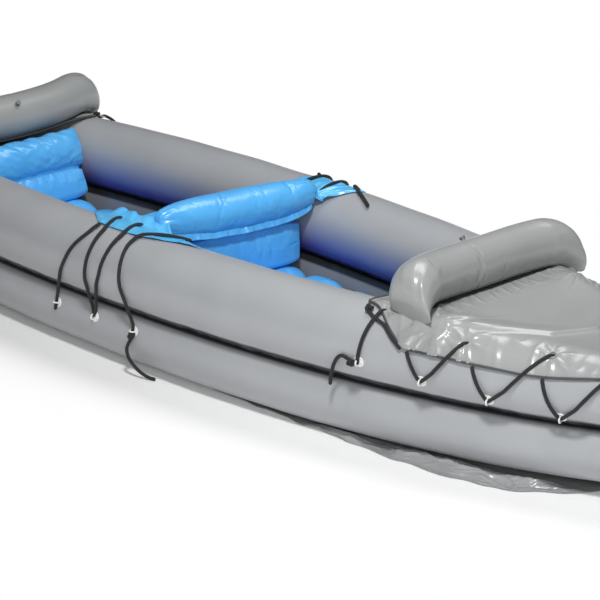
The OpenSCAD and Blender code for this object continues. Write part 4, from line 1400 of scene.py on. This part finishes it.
        folded = Ripple(103 + self.end.value, 0.062, 2, 5).facets(x + 0.3 * y * side, y + side)
        rough = ease(-0.03, 0.02, y - HULL.half_w(x)) * (1 - ease(0.10, 0.20, from_arch))
        rough = rough * ease(0.0, 0.05, x - self.start)
        height = height + self.facet_rise * rough * folded + self.bed(x, y)
        fans, near = self.pulls(points)
        pucker = np.clip(0.9 * pull + 0.7 * drawn * (0.3 + 0.7 * ridge) + 0.9 * small + 0.6 * near + 0.15, 0, 1)
        return height + fans, pucker

    def build(self) -> None:
        """Builds and dresses the deck with its hem."""
        u = np.linspace(0, 1, self.rows)[:, None]
        x = self.start + (self.tip - self.start) * (0.35 * u + 0.65 * u**1.35)
        t = np.linspace(-1, 1, self.columns)[None, :]
        smooth = self.surface(x, t)
        height, pucker = self.relief(smooth)
        normal = grid_normals(smooth)
        normal = normal * np.sign(normal[..., 2:3])
        rim = ease(0.0, 0.03, 1 - np.abs(np.broadcast_to(t, height.shape)))
        outer = smooth + normal * (height * (0.25 + 0.75 * rim))[..., None]
        flip = self.end.flip
        piece = sheet_skin(f"{self.end.word}_deck_film", outer * flip, self.thick, UP, pucker=pucker)
        fitted(piece, "hull", self.finishes.deck, "deck_film", f"{self.end.word}_deck")
        hem = self.hem(outer, normal, flip)

    def hem(self, outer: Array, normal: Array, flip: Array) -> Mesh:
        """The rolled hem along both sides and the cockpit edge of the sheet, near-black: partly a dark hem, partly
        painted shade of the gap under the edge.
        """
        inset = 1
        route = np.concatenate([outer[:0:-1, inset], outer[0, inset:-inset], outer[1:, -1 - inset]])
        away = np.concatenate([normal[:0:-1, inset], normal[0, inset:-inset], normal[1:, -1 - inset]])
        route = route - away * self.thick * 0.15
        route = resampled(softened(route, 2) * flip, 0.006)
        piece = cord_mesh(f"{self.end.word}_deck_hem", [route], self.hem_r, 8)
        return fitted(piece, "hull", self.finishes.hem, "deck_film")


@dataclass
class SplashTube:
    """An inflated roll across a deck, round in the middle and welded flat at each end."""

    finishes: Finishes
    deck: Deck
    seam: float = 0.03
    seam_lift: float = 0.002
    slack: float = 0.002
    stations: int = 132
    around: int = 70

    def foot(self, x: Array, s: Array) -> tuple[Array, Array, Array]:
        """Where the tube stands on the deck.

        Args:
            x: Station of the section.
            s: Share of the way to the seam.

        Returns:
            Half-width, height and lean of the section, the lean in radians.
        """
        t_y, _ = self.deck.leave(x)
        sag = math.radians(self.deck.sag)
        off = self.deck.top
        r = HULL.upper_rad(x) + off
        length = s * (t_y + r * (math.radians(self.deck.arch_reach) + sag))
        flat = length <= t_y
        a = np.where(flat, -sag * length / t_y, (length - t_y) / r - sag)
        arc_y, arc_z = self.deck.arc(x, off, a)
        return np.where(flat, length, arc_y), np.where(flat, self.deck.level(x, np.minimum(length, t_y)), arc_z), a

    def skin(self) -> tuple[Array, Array]:
        """Rings of the tube before it is blown up, and how near each is to a seam."""
        s = np.linspace(-1, 1, self.stations)[:, None]
        size, radius = np.abs(s), self.deck.arch_r
        q = np.linspace(0, 2 * np.pi, self.around, endpoint=False)[None, :]
        centre = self.deck.arch_x + self.deck.arch_sweep * size**4
        y, z, a = self.foot(centre, size)
        u = self.deck.flattened(size)
        tall = radius * (self.seam + (1 - self.seam) * np.sqrt(1 - u**4))
        near = ease(0.70, 1.0, size)
        gather = Ripple(121 + self.deck.end.value, 0.5, 2)
        wave = gather(np.sin(q) * 1.5 + 3 * s, 0.4 * np.cos(q) + s)
        slim = slack(self.slack) * (1 - near)
        rise = tall + 0.0008 + self.seam_lift * (1 - tall / radius)
        n = rise + (tall - slim) * np.cos(q) + 0.0028 * near * np.sqrt(np.clip(1 - u, 0, 1)) * wave
        wide = radius - slim
        points = stacked(centre + wide * np.sin(q), np.sign(s) * (y + n * np.sin(a)), z + n * np.cos(a))
        return points * self.deck.end.flip, np.broadcast_to(near, points.shape[:2])

    def build(self) -> None:
        """Builds and dresses the tube."""
        points, near = self.skin()
        word = self.deck.end.word
        piece = ring_skin(f"{word}_splash_film", points, None, pucker=0.10 + 0.55 * near)
        size = np.abs(np.linspace(-1, 1, self.stations))[:, None]
        Inflation(cap=0.007, spare=0.012).blow(piece, np.broadcast_to(size > 0.985, near.shape).astype(float))
        fitted(piece, "hull", self.finishes.deck, "deck_film", f"{word}_splash_tube")
        self.patches(word)

    def patches(self, word: str) -> None:
        """Builds the round patch that is welded over the fore end of each seam."""
        x = self.deck.arch_x + self.deck.arch_sweep + 0.061
        a = math.radians(self.deck.arch_reach + 3)
        piece = eyelet_tool().run(
            f"{word}_seam_patches",
            ring_marks(f"{word}_patch_marks", [(x, a)], self.deck.end.flip),
            ring_radius=0.0044,
            roll_radius=0.0046,
            material=self.finishes.deck,
        )
        fitted(piece, "hull", self.finishes.deck, "deck_film")


@dataclass
class LoopRows:
    """The white lacing loops on the upper tubes and the tie loops on the lower ones."""

    finishes: Finishes
    base_r: float = 0.011
    base_t: float = 0.002
    wire: float = 0.004
    fit: float = 0.0004
    lead: float = 0.055
    pitch: float = 0.154
    height: float = 0.217
    fall: float = 0.076
    lowest: float = 126.0
    fall_from: float = 0.925
    tie_x: tuple[float, ...] = (-0.060, 0.084, 0.226)
    tie_angle: float = 77.0
    weld: float = 0.0005

    def station(self, arch_x: float, number: int) -> float:
        """Distance of a loop from midships."""
        return arch_x - self.lead + number * self.pitch

    def angle(self, x: float) -> float:
        """Angle of a loop from the crest, in radians."""
        level = self.height - self.fall * max(0.0, x - self.fall_from)
        r = float(HULL.upper_rad(x))
        drop = max(level - float(HULL.upper_z(x)), r * math.cos(math.radians(self.lowest)))
        return math.acos(drop / r)

    def row(self, tool: NodeTool, name: str, places: list[tuple[Array, Array, Array]]) -> Mesh:
        """Builds loops at places, each a point, a normal and the way that the cord runs."""
        return tool.run(
            name,
            marks(f"{name}_marks", places),
            base_radius=self.base_r,
            base_thickness=self.base_t,
            rim_radius=CORD_RADIUS + self.fit + self.wire / 2,
            leg_height=self.base_t + CORD_RADIUS + self.fit / 2,
            wire_radius=self.wire / 2,
            material=self.finishes.loop,
        )

    def build(self, decks: Sequence[Deck], counts: Sequence[int]) -> None:
        """Builds and dresses all loops."""
        tool = loop_tool()
        for deck, count in zip(decks, counts):
            flip = deck.end.flip
            places = []
            for side in Side:
                for number in range(count):
                    x = self.station(deck.arch_x, number)
                    a = self.angle(x)
                    point, normal = HULL.on_upper(x, a, self.weld), HULL.outward(x, a)
                    turn = float(HULL.turn(x))
                    along = np.array([math.cos(turn), -math.sin(turn), 0.0])
                    places.append(tuple(mirrored(k, side) * flip for k in (point, normal, along)))
            word = deck.end.word
            row = self.row(tool, f"{word}_loops", places)
            fitted(row, "hull", self.finishes.loop, "loop_plastic", f"{word}_hull_loops")
        places = []
        a = math.radians(self.tie_angle)
        for side in Side:
            for number, x in enumerate(self.tie_x):
                point, normal = HULL.on_lower(x, a, self.weld), HULL.outward(x, a)
                down = np.array([0.0, math.cos(a), -math.sin(a)])
                along = AHEAD if number == 1 else down
                places.append(tuple(mirrored(k, side) for k in (point, normal, along)))
        row = self.row(tool, "seat_loops", places)
        fitted(row, "hull", self.finishes.loop, "loop_plastic", "seat_tie_loops")


@dataclass
class Cordage:
    """The deck lacing, the backrest lashings and their loose tails."""

    finishes: Finishes
    loops: LoopRows
    step: float = 0.0035
    rest_gap: float = 0.0008
    edge_lead: float = 0.034
    deck_lift: float = 0.00905
    tie_lift: float = 0.00905
    flap_half_gap: float = 0.0945
    hinge_x: float = 0.180
    holes: tuple = ((0.014, 20), (0.084, 40), (0.114, 30), (0.112, 31), (0.090, 30), (0.070, 30))
    corner: tuple = ((0.022, 27), (0.050, 36), (0.083, 42), (0.115, 50), (0.141, 62))
    aft_run: tuple = ((-0.124, 18), (-0.135, 38), (-0.160, 62), (-0.178, 84), (-0.196, 101))
    mid_aft: tuple = ((-0.136, -25), (-0.112, 0), (-0.094, 25), (-0.096, 54), (-0.098, 81), (-0.101, 101))
    mid_fore: tuple = ((-0.060, -25), (-0.042, 0), (-0.031, 24), (-0.039, 55), (-0.047, 86), (-0.060, 102))
    fore_run: tuple = ((0.112, -24), (0.065, -8), (0.014, 12), (0.008, 33), (0.020, 65), (0.030, 95))
    tail_run: tuple = (
        (-0.0005, 0.0061, 0.098), (-0.002, 0.0074, 0.094), (-0.0045, 0.0092, 0.089), (-0.0065, 0.0107, 0.0845),
        (-0.008, 0.012, 0.0795), (-0.010, 0.0137, 0.071), (-0.009, 0.0137, 0.061), (-0.006, 0.0127, 0.051),
        (0.0, 0.0107, 0.041), (0.008, 0.0077, 0.031), (0.017, 0.0037, 0.022), (0.027, -0.0013, 0.0135),
        (0.037, -0.0063, 0.008), (0.047, -0.0103, 0.005), (0.057, -0.0133, 0.0045),
    )
    tail_bow: tuple = (
        (-0.011, 99.5), (-0.020, 97.5), (-0.028, 95.4), (-0.035, 94.0), (-0.042, 94.2), (-0.049, 96.5),
        (-0.055, 100.5), (-0.060, 105.5), (-0.064, 110.5), (-0.067, 115.0), (-0.069, 119.0), (-0.071, 122.0),
        (-0.072, 124.5), (-0.073, 126.5), (-0.073, 128.0),
    )

    @property
    def cord_lift(self) -> float:
        """Height of the cord's middle over the film where it passes under a loop."""
        return self.loops.base_t + CORD_RADIUS + 0.0002

    def over_tube(self, route: Sequence[tuple[float, float, float]], passes: int = 6) -> Array:
        """A smooth run over the port upper tube.

        Args:
            route: Stations, each a distance, an angle in degrees and a height.
            passes: How far corners are rounded.

        Returns:
            Points along the run.
        """
        raw = np.array(route, float)
        scaled = stacked(raw[:, 0], np.radians(raw[:, 1]) * HULL.upper_r, raw[:, 2])
        fine = softened(resampled(scaled, self.step), passes)
        return HULL.on_upper(fine[:, 0], fine[:, 1] / HULL.upper_r, fine[:, 2])

    def lacing(self, deck: Deck, count: int) -> list[Array]:
        """Runs of the port lacing of a deck, starting at the cockpit corner."""
        lift = self.cord_lift
        runs = [
            self.over_tube(
                [
                    (deck.start + d, max(a, float(deck.edge(deck.start + d)) + 3), lift)
                    for d, a in self.corner
                ]
            )
        ]
        for number in range(count):
            x = self.loops.station(deck.arch_x, number)
            a = math.degrees(self.loops.angle(x))
            ahead, hole_a = self.holes[number]
            route = [
                (x + ahead * share**0.72, a + (hole_a - a) * share, lift + (self.deck_lift - lift) * share)
                for share in (0.0, 0.25, 0.5, 0.75, 0.97)
            ]
            route.append((x + ahead + 0.008, hole_a - 1, 0.0005))
            if number > 0:
                left = x - self.edge_lead
                route.insert(0, (left, float(deck.edge(left)) + 3, lift))
            runs.append(self.over_tube(route, 3))
        return runs

    def hole_places(self, deck: Deck, count: int) -> tuple[tuple[float, float], ...]:
        """Where the lacing goes through a deck sheet: distances from midships and angles in degrees."""
        used = self.holes[: count - 1]
        return tuple((self.loops.station(deck.arch_x, n) + ahead, a) for n, (ahead, a) in enumerate(used))

    def lean(self, side: Side, a: float) -> float:
        """How far a port run leans forward at an angle, because its flap sits further forward."""
        return (self.flap_half_gap if side is Side.PORT else 0.0) * max(0.0, min(1.0, (100 - a) / 120))

    def tie(self, run: Sequence[tuple[float, float]], side: Side) -> Array:
        """A lashing run over the flap and the upper tube."""
        return self.over_tube(
            [
                (self.hinge_x + x + self.lean(side, a), a, self.tie_lift if a < 30 else CORD_RADIUS + self.rest_gap)
                for x, a in run
            ]
        )

    def anchor(self, number: int, down: float) -> Array:
        """A point of the cord in a tie loop, some degrees below its middle."""
        return HULL.on_lower(self.loops.tie_x[number], math.radians(self.loops.tie_angle + down), self.cord_lift)

    def lashings(self, side: Side) -> list[Array]:
        """Runs of one side's lashing, in port places."""
        aft = np.vstack([self.tie(self.aft_run, side), self.anchor(0, -9), self.anchor(0, 9)])
        middle = np.vstack(
            [
                self.tie(self.mid_aft, side),
                self.anchor(1, -10) - [CORD_RADIUS + 0.0004, 0, 0],
                self.anchor(1, 0),
                self.anchor(1, -10) + [CORD_RADIUS + 0.0004, 0, 0],
                self.tie(self.mid_fore, side)[::-1],
            ]
        )
        fore = np.vstack([self.tie(self.fore_run, side), self.anchor(2, -9), self.anchor(2, 9)])
        return [softened(resampled(run, 0.003), 4) for run in (aft, middle, fore)]

    def knot(self, centre: Array, normal: Array, along: Array, scale: float = 0.0024) -> Array:
        """An overhand knot lying on the film, as a route."""
        t = np.linspace(0.35, 2 * np.pi - 0.35, 70)
        flat = stacked(np.sin(t) + 2 * np.sin(2 * t), np.cos(t) - 2 * np.cos(2 * t), -1.25 * np.sin(3 * t))
        along = along - normal * (along @ normal)
        along = along / np.linalg.norm(along)
        return centre + scale * (
            flat[:, :1] * along + flat[:, 1:2] * np.cross(normal, along) + flat[:, 2:] * normal
        )

    def knots(self, deck: Deck) -> list[Array]:
        """Knots of a deck's port lacing: at the cockpit corner and under the second loop."""
        spot = deck.start + 0.024
        a = math.radians(25)
        first = self.knot(HULL.on_upper(spot, a, 0.009), HULL.outward(spot, a), np.array([0.6, 0.8, 0.0]))
        x = self.loops.station(deck.arch_x, 0)
        a = self.loops.angle(x)
        second = self.knot(HULL.on_upper(x - 0.016, a + 0.02, 0.008), HULL.outward(x, a), np.array([1.0, 0.0, 0.3]))
        return [first, second]

    def tails(self) -> dict[str, Array]:
        """The loose tails by node: one hangs beside the bow lacing, one from a tie loop to the ground."""
        x = self.loops.tie_x[2]
        side = float(HULL.lower_w(x) + HULL.lower_rad(x) * HULL.stretch(x))
        low = np.array([[x + d, side + out, max(z, CORD_RADIUS + 0.0002)] for d, out, z in self.tail_run])
        high = []
        for d, a in self.tail_bow:
            x = self.loops.fall_from + d
            r = float(HULL.upper_rad(x) * HULL.stretch(x))
            reach = r + CORD_RADIUS + self.rest_gap
            lift = (reach if a < 95 else reach / math.sin(math.radians(a))) - r
            high.append(HULL.on_upper(x, math.radians(a), lift))
        return {
            "lashing_tail": mirrored(low, Side.STARBOARD),
            "lacing_tail": mirrored(np.array(high), Side.STARBOARD),
        }

    def build(self, decks: Sequence[Deck], counts: Sequence[int]) -> None:
        """Builds and dresses all cords."""
        for name, points in self.tails().items():
            route = softened(resampled(points, 0.0025), 3)
            piece = cord_mesh(f"{name}_cord", [route], CORD_RADIUS)
            fitted(piece, "hull", self.finishes.cord, "cord", name)
        for deck, count in zip(decks, counts):
            flip = deck.end.flip
            runs = self.lacing(deck, count - 1) + self.knots(deck)
            for side in Side:
                name = f"{deck.end.word}_lacing_{side.word}"
                piece = cord_mesh(f"{name}_cord", [mirrored(run, side) * flip for run in runs], CORD_RADIUS)
                fitted(piece, "hull", self.finishes.cord, "cord", name)
        for side in Side:
            runs = self.lashings(side)
            a = math.radians(self.loops.tie_angle)
            spot = HULL.on_lower(self.loops.tie_x[2], a + 0.10, 0.008)
            runs.append(self.knot(spot, HULL.outward(self.loops.tie_x[2], a), np.array([0.2, 0.3, -1.0])))
            name = f"front_lashing_{side.word}"
            piece = cord_mesh(f"{name}_cord", [mirrored(run, side) for run in runs], CORD_RADIUS)
            fitted(piece, "hull", self.finishes.cord, "cord", name)

    def eyelets(self, decks: Sequence[Deck], counts: Sequence[int]) -> None:
        """Builds the welded rings where the lacing goes through the deck sheets."""
        tool = eyelet_tool()
        for deck, count in zip(decks, counts):
            name = f"{deck.end.word}_deck_eyelets"
            places = [(x, math.radians(a)) for x, a in self.hole_places(deck, count)]
            piece = tool.run(
                name,
                ring_marks(f"{name}_marks", places, deck.end.flip),
                ring_radius=0.0080,
                roll_radius=0.0018,
                material=self.finishes.deck,
            )
            fitted(piece, "hull", self.finishes.deck, "deck_film")


@dataclass
class SeatFrame:
    """The place and turn of a backrest."""

    hinge: tuple[float, float, float]
    yaw: float = 0.0
    pitch: float = 0.0

    def world(self, local: Array) -> Array:
        """Points of the backrest in the row frame."""
        turn, lean = math.radians(self.yaw), math.radians(self.pitch)
        about_z = np.array([[math.cos(turn), -math.sin(turn), 0], [math.sin(turn), math.cos(turn), 0], [0, 0, 1.0]])
        about_y = np.array([[math.cos(lean), 0, math.sin(lean)], [0, 1.0, 0], [-math.sin(lean), 0, math.cos(lean)]])
        return local @ (about_z @ about_y).T + np.array(self.hinge)


@dataclass
class Seat:
    """One seat: a lobed cushion, a back panel and a backrest roll."""

    finishes: Finishes
    name: str
    place: SeatFrame
    body: str
    cushion_half_w: float
    panel_half_w: float
    panel_h: float
    roll_h: float
    roll_half: float
    roll_rise: float
    welded: bool
    seed: int
    cushion_l: float = 0.450
    cushion_t: float = 0.070
    panel_t: float = 0.042
    roll_t: float = 0.096
    flange_w: float = 0.018
    lobes: int = 3
    floor_top: float = 0.0824
    fit: float = 0.0004
    side_gap: float = 0.0034
    slack: float = 0.002
    film: float = 0.0012
    web_half: float = 0.94
    flange_half: float = 0.90

    @property
    def roll_mid(self) -> float:
        """Height of the roll's middle over the hinge."""
        return self.panel_h + self.fit + self.roll_h / 2

    def cushion(self) -> None:
        """Builds the cushion, crowned between its cross welds and drawn in at the sides."""
        u = np.linspace(0.004, 0.996, 96)[:, None]
        a = np.linspace(0, np.pi, 49)[None, :]
        start = self.place.hinge[0] - self.cushion_l / (2 * self.lobes)
        x = start + self.cushion_l * u
        ends = np.maximum(0.12, np.sqrt(1 - np.abs(2 * u - 1) ** 10))
        full = ends * (1 - 0.34 * np.abs(np.cos(np.pi * self.lobes * u)) ** 6)
        room = HULL.inner_w(x) - self.side_gap
        b = np.minimum(room, self.cushion_half_w) * (0.93 + 0.07 * full)
        c = np.cos(a)
        y = b * np.sign(c) * np.abs(c) ** 0.42
        weld = np.abs(np.cos(np.pi * self.lobes * u)) ** 14
        folds = Ripple(self.seed, 0.045)
        pleat = 1 + 0.05 * weld * folds(y * 1.6, x * 0.4) + 0.012 * Ripple(self.seed + 1, 0.16)(x, y)
        z = self.floor_top + (self.cushion_t - slack(self.slack)) * full * np.sin(a) ** 0.42 * pleat
        top = stacked(x, y, z)
        bottom = top[:, ::-1].copy()
        bottom[..., 2] = self.floor_top
        rings = np.concatenate([top, bottom[:, 1:-1]], 1)
        below = np.zeros_like(z[:, 1:-1])
        pucker = np.concatenate([np.broadcast_to(0.12 + 0.7 * weld, z.shape), below], 1)
        piece = ring_skin(f"{self.name}_cushion_film", rings, None, pucker=pucker)
        rim = np.maximum((np.abs(u - 0.5) > 0.485) * 1.0, weld > 0.8)
        held = np.concatenate([np.maximum(rim, np.sin(a) < 0.05) * np.ones_like(z), below + 1.0], 1)
        Inflation(cap=0.005, spare=0.02).blow(piece, held)
        fitted(piece, "hull", self.finishes.seat, "seat_film", f"{self.name}_seat_cushion")

    def panel(self) -> None:
        """Builds the low panel between the cushion and the roll."""
        v = np.sin(np.pi / 2 * np.linspace(-1, 1, 92))[:, None]
        r = self.panel_t / 2 * (0.35 + 0.65 * np.sqrt(1 - np.abs(v) ** 6))
        arc = np.linspace(np.pi / 2, 3 * np.pi / 2, 19)[None, :]
        k = np.linspace(0, 1, 22)[None, :]
        height = self.panel_h * (0.35 + 0.65 * k) * (1 - 0.12 * v**4)
        belly = 1 - 0.3 * k
        fold = Ripple(self.seed + 7, 0.05)
        y = self.panel_half_w * v
        dent = 1 + 0.05 * fold(y, k * 0.05) * np.sin(np.pi * k)
        x = np.concatenate([r * np.sin(arc), (-r * belly * dent), (r * belly * dent)[:, ::-1]], 1)
        z = np.concatenate([r * np.cos(arc), height, height[:, ::-1]], 1)
        local = stacked(x, y, z)
        piece = ring_skin(f"{self.name}_panel_film", self.place.world(local), None, pucker=np.full(x.shape, 0.25))
        edge = np.broadcast_to((k > 0.97) * 1.0, height.shape)
        held = np.concatenate([np.ones_like(r * arc), edge, edge[:, ::-1]], 1)
        Inflation(cap=0.006, spare=0.02).blow(piece, np.maximum(held, np.abs(v) > 0.985))
        fitted(piece, self.body, self.finishes.seat, "seat_film", f"{self.name}_back_panel")

    def roll_points(self, v: Array, q: Array, swell: Array | float = 0.0) -> Array:
        """Points of the roll in the backrest's own frame.

        Args:
            v: Shares of the half-length.
            q: Angles round the section from the top, in radians.
            swell: Height over the film.

        Returns:
            The points.
        """
        v, q = np.broadcast_arrays(v, q)
        if self.welded:
            thick = 0.08 + 0.92 * np.sqrt(1 - np.abs(v) ** 5)
            tall = 0.88 + 0.12 * np.sqrt(1 - np.abs(v) ** 12)
            pleat = 1 + 0.02 * Ripple(self.seed + 3, 0.5)(np.cos(q), v * 2)
        else:
            thick = tall = (1 - 0.28 * v**2) * (0.18 + 0.82 * np.sqrt(1 - np.abs(v) ** 7))
            gather = ease(0.62, 0.98, np.abs(v))
            wave = Ripple(self.seed + 3, 1.0)
            pleat = 1 + 0.07 * gather * wave(2.6 * np.cos(q) + v, 2.6 * np.sin(q)) + 0.010 * wave(v * 3, np.cos(q))
        x = (self.roll_t / 2 * thick * pleat + swell) * np.sin(q)
        z = self.roll_mid + self.roll_rise * v**2 + (self.roll_h / 2 * tall * pleat + swell) * np.cos(q)
        return stacked(x, self.roll_half * v, z)

    @property
    def weld_angle(self) -> float:
        """Angle round the roll, from the top, of the weld along its front."""
        return 2.55 if self.welded else 2.32

    def roll(self) -> None:
        """Builds the backrest roll with its weld flange."""
        v = np.linspace(-1, 1, 124)[:, None]
        q = np.linspace(0, 2 * np.pi, 70, endpoint=False)[None, :]
        points = self.roll_points(v, q, -slack(self.slack) * (1 - ease(0.8, 1.0, np.abs(v))))
        low = np.exp(-(((q - self.weld_angle) / 0.40) ** 2))
        pucker = np.clip(0.10 + 0.7 * ease(0.6, 0.97, np.abs(v)) + 0.7 * low, 0, 1) * np.ones_like(q)
        piece = ring_skin(f"{self.name}_roll_film", self.place.world(points), None, pucker=pucker)
        seam = np.abs(q - self.weld_angle) < 0.05
        Inflation(cap=0.008, spare=0.012).blow(piece, np.maximum(np.abs(v) > 0.985, seam) * np.ones_like(pucker))
        fitted(piece, self.body, self.finishes.seat, "seat_film", f"{self.name}_back_roll")
        if self.welded:
            self.web()
        else:
            self.flange()

    def web(self) -> None:
        """Builds the strip of film that joins the roll to the panel along the front."""
        v = np.linspace(-self.web_half, self.web_half, 120)[:, None]
        k = np.linspace(0, 1, 12)[None, :, None]
        top = self.roll_points(v, np.full_like(v, 2.30), -0.002)
        low_z = self.panel_h * (1 - 0.12 * v**4) * 0.80
        low_x = self.panel_t * 0.40 * np.sqrt(1 - np.abs(v) ** 6)
        low = stacked(low_x, self.panel_half_w * v, low_z)
        tuck = 0.010 * AHEAD * np.sin(np.pi * k)
        local = top * (1 - k) + low * k - tuck
        folds = Ripple(self.seed + 9, 0.05)
        local[..., 0] += 0.0012 * folds(self.roll_half * v * 1.4, k[..., 0] * 0.03) * np.sin(np.pi * k[..., 0])
        self.strip(f"{self.name}_roll_web", local, 0.5)

    def flange(self) -> None:
        """Builds the ruffled weld flange along the front lower edge of the roll."""
        v = np.linspace(-self.flange_half, self.flange_half, 220)[:, None]
        k = np.linspace(0, 1, 9)[None, :]
        root = self.roll_points(v, np.full_like(v, self.weld_angle), -0.003)
        ruffle = Ripple(self.seed + 5, 0.05)
        y = self.roll_half * v
        droop = 0.0030 * ruffle(y * 1.3, y * 0.4) * k + 0.0010 * ruffle(y * 3, k * 0.02)
        reach = self.flange_w * (1 - 0.3 * np.abs(v) ** 6)
        x = root[..., 0] + k * reach * 0.50 + droop * 0.8
        z = root[..., 2] - k * reach * 0.86 + droop * 0.5
        local = stacked(x, y, z)
        self.strip(f"{self.name}_roll_flange", local, 0.8)

    def strip(self, name: str, local: Array, pucker: float) -> None:
        """Builds and dresses a strip of film at the roll.

        Args:
            name: Name of the piece.
            local: Grid of points in the backrest's own frame.
            pucker: How far the film puckers.
        """
        way = AHEAD + 0.3 * UP
        piece = sheet_skin(name, self.place.world(local), self.film, way, pucker=np.full(local.shape[:2], pucker))
        fitted(piece, self.body, self.finishes.seat, "seat_film")

    def build(self) -> None:
        """Builds the whole seat."""
        self.cushion()
        self.panel()
        self.roll()


@dataclass
class SideFlap:
    """A side flap of the front backrest: gathered at the roll, spread and crumpled over the tube."""

    finishes: Finishes
    seat: Seat
    side: Side
    aft: tuple[float, float, float]
    fore: tuple[float, float, float]
    ridge: float
    trim: float
    inner: float = -40.0
    outer: float = 13.0
    thick: float = 0.0024
    gap: float = 0.0016
    pleat_depth: float = 0.0025
    crease_depth: float = 0.0014
    neck_share: float = 0.93
    gather: float = 0.030

    def build(self) -> None:
        """Builds and dresses the flap."""
        k = np.linspace(-0.55, 1, 90)[:, None]
        v = np.linspace(-1, 1, 130)[None, :]
        spread = np.clip(k, 0, 1)
        x0 = self.seat.place.hinge[0] + self.side.value * HULL.beam * math.sin(math.radians(-self.seat.place.yaw))
        edge = self.outer - self.trim * ease(-0.2, 1.0, v)
        a = np.radians(self.inner + (edge - self.inner) * spread)
        aft, fore = (np.interp(spread, [0, 0.5, 1], ends) for ends in (self.aft, self.fore))
        x = x0 + aft + (fore - aft) * (v + 1) / 2
        pleats = Ripple(141 + self.side.value, 0.34, 2)
        crumple = Ripple(151 + self.side.value, 0.060, 2)
        wave = np.clip(0.6 + pleats(v * 1.0, k * 0.25), 0, 2)
        depth = self.pleat_depth * (1 - 0.80 * ease(0.1, 0.9, k)) + 0.001
        lift = self.gap + self.thick + depth * wave + self.crease_depth * crumple.ridge(x, a * HULL.upper_r)
        lift = lift * (0.55 + 0.45 * ease(0.0, 0.10, 1 - np.abs(v)))
        stand = self.ridge * np.exp(-(((k - 0.06) / 0.17) ** 2)) * ease(-1.0, -0.6, v)
        stand = stand * (0.96 + 0.04 * pleats(v * 0.6, 0 * k))
        lift = np.maximum(lift + stand, self.gap + self.thick)
        points = HULL.on_upper(x, a, lift)
        at = self.neck_share * self.side.value
        neck = self.seat.place.world(self.seat.roll_points(np.array([at]), np.array([0.0])))[0]
        root = self.seat.place.world(np.array([0.0, at * self.seat.roll_half, 0.0]))
        mouth_x = root[0] + self.gather * v + 0.004 * np.cos(9 * v)
        mouth_z = neck[2] - 0.004 - 0.030 * v**2 + 0.004 * np.cos(14 * v + self.side.value)
        mouth = stacked(mouth_x, np.full_like(v, abs(root[1]) - 0.006), mouth_z)
        back = ease(0.0, 0.55, -k)[..., None]
        points = points * (1 - back) + mouth * back
        outer = mirrored(points, self.side)
        name = f"front_flap_{self.side.word}"
        pucker = np.clip(0.55 + 0.35 * np.exp(-((k / 0.4) ** 2)) * np.ones_like(v), 0, 1)
        piece = sheet_skin(f"{name}_film", outer, self.thick * 0.6, UP, pucker=pucker)
        piece.data.materials.append(self.finishes.flap)
        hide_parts(name)
        start = mirrored(HULL.on_upper(x0, math.radians(self.inner + 14), 0.004), self.side)
        end = mirrored(np.array([root[0], abs(root[1]), neck[2]]), self.side)
        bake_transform(piece)
        LOG.info("%s bends between hull and %s", piece.name, self.seat.body)


class Fittings:
    """The moulded and bent fittings, which keep their CAD shape."""

    PLASTIC = (
        "starboard_valve_body", "starboard_valve_cap", "port_valve_body", "port_valve_cap", "floor_valve_body",
        "floor_valve_cap", "front_back_valve", "rear_back_valve", "cushion_valves",
        "bow_handle_base", "bow_handle_grip", "stern_handle_base", "stern_handle_grip",
    )
    WIRE = ("bow_handle_bail", "stern_handle_bail")
    PALE = ("splash_tube_valves",)

    def __init__(self, finishes: Finishes) -> None:
        """Takes the finishes."""
        self.finishes = finishes

    def build(self) -> None:
        """Dresses the CAD nodes."""
        for names, material in (
            (self.PLASTIC, self.finishes.fitting),
            (self.WIRE, self.finishes.wire),
            (self.PALE, self.finishes.pale),
        ):
            for name in names:
                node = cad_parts[name]
                node.data.materials.clear()
                node.data.materials.append(material)
                LOG.info("%s keeps its CAD shape", name)


def main() -> None:
    """Builds the scene in order: camera, cords, hull, decks, seats, fittings."""
    logging.basicConfig(level=logging.INFO, format="%(message)s")
    studio = Studio()
    studio.camera()
    finishes = Finishes()
    decks = [
        Deck(finishes, End.BOW, start=0.883, arch_x=0.980, sag=4.0),
        Deck(finishes, End.STERN, start=0.710, arch_x=0.745, sag=8.0),
    ]
    counts = (5, 6)
    loops = LoopRows(finishes)
    cordage = Cordage(finishes, loops)
    cordage.build(decks, counts)
    loops.build(decks, counts)
    cordage.eyelets(decks, counts)
    SideTubes(finishes).build()
    BottomSkin(finishes).build()
    InflatedFloor(finishes).build()
    for deck, count in zip(decks, counts):
        deck.holes = cordage.hole_places(deck, count)
        deck.build()
        SplashTube(finishes, deck).build()
    front = Seat(
        finishes, "front", SeatFrame((0.180, 0.0, 0.17319), yaw=-9.0), "front_backrest", cushion_half_w=0.195,
        panel_half_w=0.180, panel_h=0.097, roll_h=0.110, roll_half=0.234, roll_rise=0.006, welded=False, seed=201,
    )
    rear = Seat(
        finishes, "rear", SeatFrame((-0.600, 0.0, 0.17319), pitch=-22.0), "rear_backrest", cushion_half_w=0.150,
        panel_half_w=0.146, panel_h=0.062, roll_h=0.110, roll_half=0.158, roll_rise=0.0, welded=True, seed=231,
    )
    for seat in (front, rear):
        seat.build()
    SideFlap(
        finishes, front, Side.STARBOARD, aft=(-0.163, -0.165, -0.093), fore=(0.030, 0.125, 0.232),
        ridge=0.030, trim=22.0,
    ).build()
    SideFlap(
        finishes, front, Side.PORT, aft=(-0.075, -0.125, -0.105), fore=(0.020, 0.055, 0.080), ridge=0.012, trim=0.0
    ).build()
    Fittings(finishes).build()
    studio.floor()
    studio.light()


if __name__ == "__main__":
    main()
